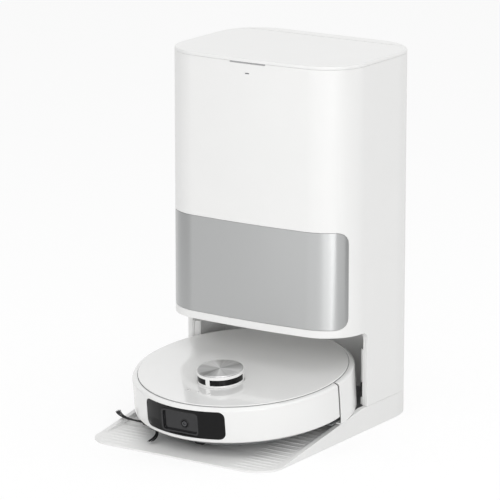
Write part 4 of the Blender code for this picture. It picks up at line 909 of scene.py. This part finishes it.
@dataclass
class Wheels:
    """The drive wheels with treaded tyres, their arms, and the caster."""

    blocks: int = 30
    groove: float = 1.3 * MM
    hub_share: float = 0.62
    turn_steps: int = 300

    def tyre(self, side: str) -> bpy.types.Mesh:
        """A tyre whose tread is cut by chevron grooves.

        A point at angle a and place x across the tread lies in a groove where the fraction of
        blocks * a / 2 pi + 0.6 |x| / half width is under a third.
        """
        low, high = local_box(f"wheel_{side}")
        middle, half, radius = (low + high) / 2, (high.x - low.x) / 2, (high.z - low.z) / 2
        hub = self.hub_share * radius
        edge = 2.2 * MM
        flank = [(hub, -half), (radius - edge, -half)]
        corner = [(radius - edge + edge * math.sin(b), -half + edge * (1 - math.cos(b)))
                  for b in np.linspace(0.3, math.pi / 2, 4)]
        tread = [(radius, x) for x in np.linspace(-half + edge, half - edge, 13)[1:-1]]
        outline = flank + corner + tread + [(r, -x) for r, x in (flank + corner)[::-1]]
        profile = np.array(outline)
        a = np.linspace(0, 2 * np.pi, self.turn_steps, endpoint=False)
        across = np.abs(profile[:, 1]) / half
        phase = (self.blocks * a[:, None] / (2 * np.pi) + 0.6 * across[None]) % 1
        on_tread = (profile[:, 0] > radius - 0.4 * edge)[None]
        cut = self.groove * on_tread * np.clip(6 * (1 / 3 - np.abs(phase - 0.5)), 0, 1)
        r = profile[None, :, 0] - cut
        grid = np.stack([np.broadcast_to(profile[None, :, 1], r.shape), r * np.cos(a)[:, None],
                         r * np.sin(a)[:, None]], axis=-1)
        return surface(f"tyre_{side}", grid + np.array(middle), matrix=ROBOT)

    def hub(self, side: str) -> bpy.types.Mesh:
        """The wheel's dished centre, turned about the axle."""
        low, high = local_box(f"wheel_{side}")
        middle, half, radius = (low + high) / 2, (high.x - low.x) / 2, (high.z - low.z) / 2
        rim = self.hub_share * radius + 0.2 * MM
        face = half - 1.5 * MM
        bore = 4.3 * MM
        profile = [(bore, -face + 2 * MM), (0.35 * rim, -face + 2 * MM), (0.45 * rim, -face + 4 * MM),
                   (0.85 * rim, -face + 4 * MM), (0.92 * rim, -face), (rim, -face), (rim, face),
                   (0.92 * rim, face), (0.85 * rim, face - 4 * MM), (0.45 * rim, face - 4 * MM),
                   (0.35 * rim, face - 2 * MM), (bore, face - 2 * MM)]
        return lathe(f"wheel_hub_{side}", profile, 96, tuple(middle), Axis.X, matrix=ROBOT)

    def build(self) -> None:
        """Make the tyres and hubs, and dress arms and caster."""
        for side in ("left", "right"):
            body = BODY_OF[f"wheel_{side}"]
            put(f"tyre_{side}", self.tyre(side), RUBBER, body, f"wheel_{side}")
            put(f"wheel_hub_{side}", self.hub(side), NYLON, body)
            refined(f"wheel_arm_{side}", NYLON, 0.6)
        refined("caster_fork", NYLON, 0.5)
        refined("caster_wheel", NYLON, 0.8)


@dataclass
class Mops:
    """The two mop pads on their discs."""

    loop_height: float = 0.5 * MM
    rings: int = 60
    turn_steps: int = 260

    def pad(self, side: str) -> bpy.types.Mesh:
        """A looped pad: a disc with a round rim, whose underside waves in rings and spokes."""
        low, high = local_box(f"mop_pad_{side}")
        middle = np.array((low + high) / 2)
        radius, half = (high.x - low.x) / 2 - self.loop_height, (high.z - low.z) / 2 - self.loop_height / 2
        bore = 0.12 * radius
        t = np.linspace(0, 1, self.rings)
        round_rim = half
        under = [(bore + (radius - round_rim - bore) * s, -half) for s in t]
        rim = [(radius - round_rim + half * math.cos(b), half * math.sin(b))
               for b in np.linspace(-math.pi / 2, math.pi / 2, 12)[1:-1]]
        over = [(radius - round_rim, half), (bore, half)]
        profile = np.array(under + rim + over)
        a = np.linspace(0, 2 * np.pi, self.turn_steps, endpoint=False)
        loops = np.cos(profile[None, :, 0] * 2 * np.pi / (3.6 * MM)) * np.cos(86 * a)[:, None]
        soft = np.where(profile[:, 1] < half * 0.9, 1.0, 0.0)[None]
        grow = self.loop_height * 0.5 * loops * soft
        r = profile[None, :, 0] + grow * (profile[None, :, 1] > -half * 0.98)
        z = profile[None, :, 1] + grow * (profile[None, :, 1] <= -half * 0.98)
        grid = np.stack([r * np.cos(a)[:, None], r * np.sin(a)[:, None], z], axis=-1)
        return surface(f"mop_cloth_{side}", grid + middle, matrix=ROBOT, smooth_deg=60)

    def build(self) -> None:
        """Make the pads and dress their discs."""
        for side in ("left", "right"):
            node = f"mop_pad_{side}"
            cloth = put(f"mop_cloth_{side}", self.pad(side), MICROFIBRE, BODY_OF[node], node)
            refined(f"mop_disc_{side}", NYLON, 0.4)


@dataclass
class RobotInside:
    """What lies under the deck: bin, tank, battery, suction fan and the chassis itself."""

    def build(self) -> None:
        """Dress the inner pieces."""
        refined("chassis", INNER_ABS, 0.4)
        refined("dust_bin", TANK_PC, 0.6)
        refined("water_tank", TANK_PC, 0.6)
        refined("battery", SLEEVE, 0.8)
        refined("suction_housing", NYLON, 0.4)
        refined("suction_impeller", NYLON, 0.1)


# ---- the studio ------------------------------------------------------------------------------
# Each lamp: its name, place, target, width and height in metres, and power in watts.
LAMPS = (("key_softbox", (2.1, -3.0, 1.3), (0, -0.1, 0.25), (1.6, 2.4), 21.5),
         ("top_softbox", (0.2, 0.2, 3.0), (0, 0, 0.3), (2.4, 2.4), 14),
         ("low_fill", (0.2, -2.4, 0.28), (0, -0.1, 0.02), (3.0, 0.4), 4.5),
         ("corner_strip", (1.9, -1.75, 0.5), (0.1, 0, 0.25), (0.35, 1.0), 5.5))
# Each grey card: its name, place and target on the floor, width in metres, and shade.
FLAGS = (("left_flag", (-2.6, -0.7), (0.0, 0.0), 2.6, 0.30),
         ("right_flag", (2.3, 0.1), (0.0, 0.0), 1.3, 0.05))


@dataclass
class Studio:
    """A plain white floor, a white world, soft lamps and the camera."""

    camera_place: tuple[float, float, float] = (2.9782, -4.5537, 1.6290)
    camera_pitch: float = 0.24268
    camera_turn: float = 0.58063
    lens_mm: float = 257.7
    floor_half: float = 6.0
    shadow_share: float = 0.35
    floor_glow: float = 1.12
    ambient: float = 0.71

    def camera(self) -> None:
        """A long lens at eye level in front of the object's right side."""
        data = bpy.data.cameras.new("camera")
        data.lens = self.lens_mm
        data.sensor_width = 36.0
        data.clip_end = 50.0
        camera = bpy.data.objects.new("camera", data)
        camera.location = self.camera_place
        camera.rotation_euler = (math.pi / 2 - self.camera_pitch, 0.0, self.camera_turn)
        bpy.context.scene.collection.objects.link(camera)
        bpy.context.scene.camera = camera

    def lamp(self, name: str, place: Sequence[float], target: Sequence[float], size: Sequence[float],
             power: float) -> None:
        """A rectangular soft lamp at a place, turned to a target."""
        data = bpy.data.lights.new(name, "AREA")
        data.shape = "RECTANGLE"
        data.size, data.size_y = size
        data.energy = power
        lamp = bpy.data.objects.new(name, data)
        lamp.location = place
        aim = Vector(target) - Vector(place)
        lamp.rotation_euler = aim.to_track_quat("-Z", "Y").to_euler()
        bpy.context.scene.collection.objects.link(lamp)

    def seen(self, tree: bpy.types.NodeTree) -> bpy.types.NodeSocket:
        """A socket that is 1 for rays of the camera, of reflections and through glass."""
        path = add_node(tree, "LightPath")
        both = add_node(tree, "Math", {"operation": "MAXIMUM"}, in_0=path.outputs["Is Camera Ray"],
                        in_1=path.outputs["Is Glossy Ray"])
        return add_node(tree, "Math", {"operation": "MAXIMUM"}, in_0=both.outputs[0],
                        in_1=path.outputs["Is Transmission Ray"]).outputs[0]

    def flag(self, name: str, place: Sequence[float], target: Sequence[float], width: float,
             grey: float) -> None:
        """A standing grey card that only reflections see, so that metal has something to mirror."""
        towards = math.atan2(target[1] - place[1], target[0] - place[0])
        side = Vector((-math.sin(towards), math.cos(towards), 0.0)) * width / 2
        foot, top = Vector((*place, -1.5)), Vector((*place, 2.0))
        mesh = bpy.data.meshes.new(name)
        mesh.from_pydata([foot - side, foot + side, top + side, top - side], [], [(0, 1, 2, 3)])
        card = bpy.data.objects.new(name, mesh)
        bpy.context.scene.collection.objects.link(card)
        made = bpy.data.materials.new(name)
        made.use_nodes = True
        tree = made.node_tree
        tree.nodes.remove(tree.nodes["Principled BSDF"])
        glow = add_node(tree, "Emission", {"Color": (grey, grey, grey, 1.0)})
        tree.links.new(glow.outputs[0], tree.nodes["Material Output"].inputs["Surface"])
        mesh.materials.append(made)
        card.visible_camera = False
        card.visible_diffuse = False
        card.visible_transmission = False
        card.visible_shadow = False

    def world(self) -> None:
        """White to the camera and in reflections, and a gentle fill on matt surfaces."""
        world = bpy.data.worlds.new("studio")
        world.use_nodes = True
        bpy.context.scene.world = world
        tree = world.node_tree
        strength = add_node(tree, "MapRange", {"To Min": self.ambient, "To Max": 1.0},
                            Value=self.seen(tree))
        tree.links.new(strength.outputs["Result"], tree.nodes["Background"].inputs["Strength"])
        tree.nodes["Background"].inputs["Color"].default_value = (1.0, 1.0, 1.0, 1.0)

    def floor(self) -> None:
        """A white floor that keeps a soft share of the object's shadow."""
        h = self.floor_half
        mesh = bpy.data.meshes.new("studio_floor")
        mesh.from_pydata([(-h, -h, 0), (h, -h, 0), (h, h, 0), (-h, h, 0)], [], [(0, 1, 2, 3)])
        floor = bpy.data.objects.new("studio_floor", mesh)
        bpy.context.scene.collection.objects.link(floor)
        made = bpy.data.materials.new("white_floor")
        made.use_nodes = True
        tree = made.node_tree
        tree.nodes.remove(tree.nodes["Principled BSDF"])
        glow = add_node(tree, "Emission", {"Strength": self.floor_glow})
        matt = add_node(tree, "BsdfDiffuse", {"Color": (0.86, 0.86, 0.86, 1.0)})
        share = add_node(tree, "Math", {"operation": "MULTIPLY", 1: 1 - self.shadow_share},
                         in_0=self.seen(tree))
        mixed = add_node(tree, "MixShader", None, Fac=share.outputs[0], in_1=matt.outputs[0],
                         in_2=glow.outputs[0])
        tree.links.new(mixed.outputs[0], tree.nodes["Material Output"].inputs["Surface"])
        mesh.materials.append(made)

    def build(self) -> None:
        """Set up everything round the object."""
        scene = bpy.context.scene
        scene.view_settings.view_transform = "Standard"
        self.camera()
        self.world()
        self.floor()
        for lamp in LAMPS:
            self.lamp(*lamp)
        for flag in FLAGS:
            self.flag(*flag)


def main() -> None:
    """Build the studio, then each sub-assembly in order."""
    logging.basicConfig(level=logging.INFO, format="%(message)s")
    Studio().build()
    for assembly in (Tower(), Tray(), Tanks(), RobotSkin(), CameraEye(), SideBrush(), MainBrush(),
                     Wheels(), Mops(), RobotInside()):
        assembly.build()
        LOG.info("%s done", type(assembly).__name__)


if __name__ == "__main__":
    main()
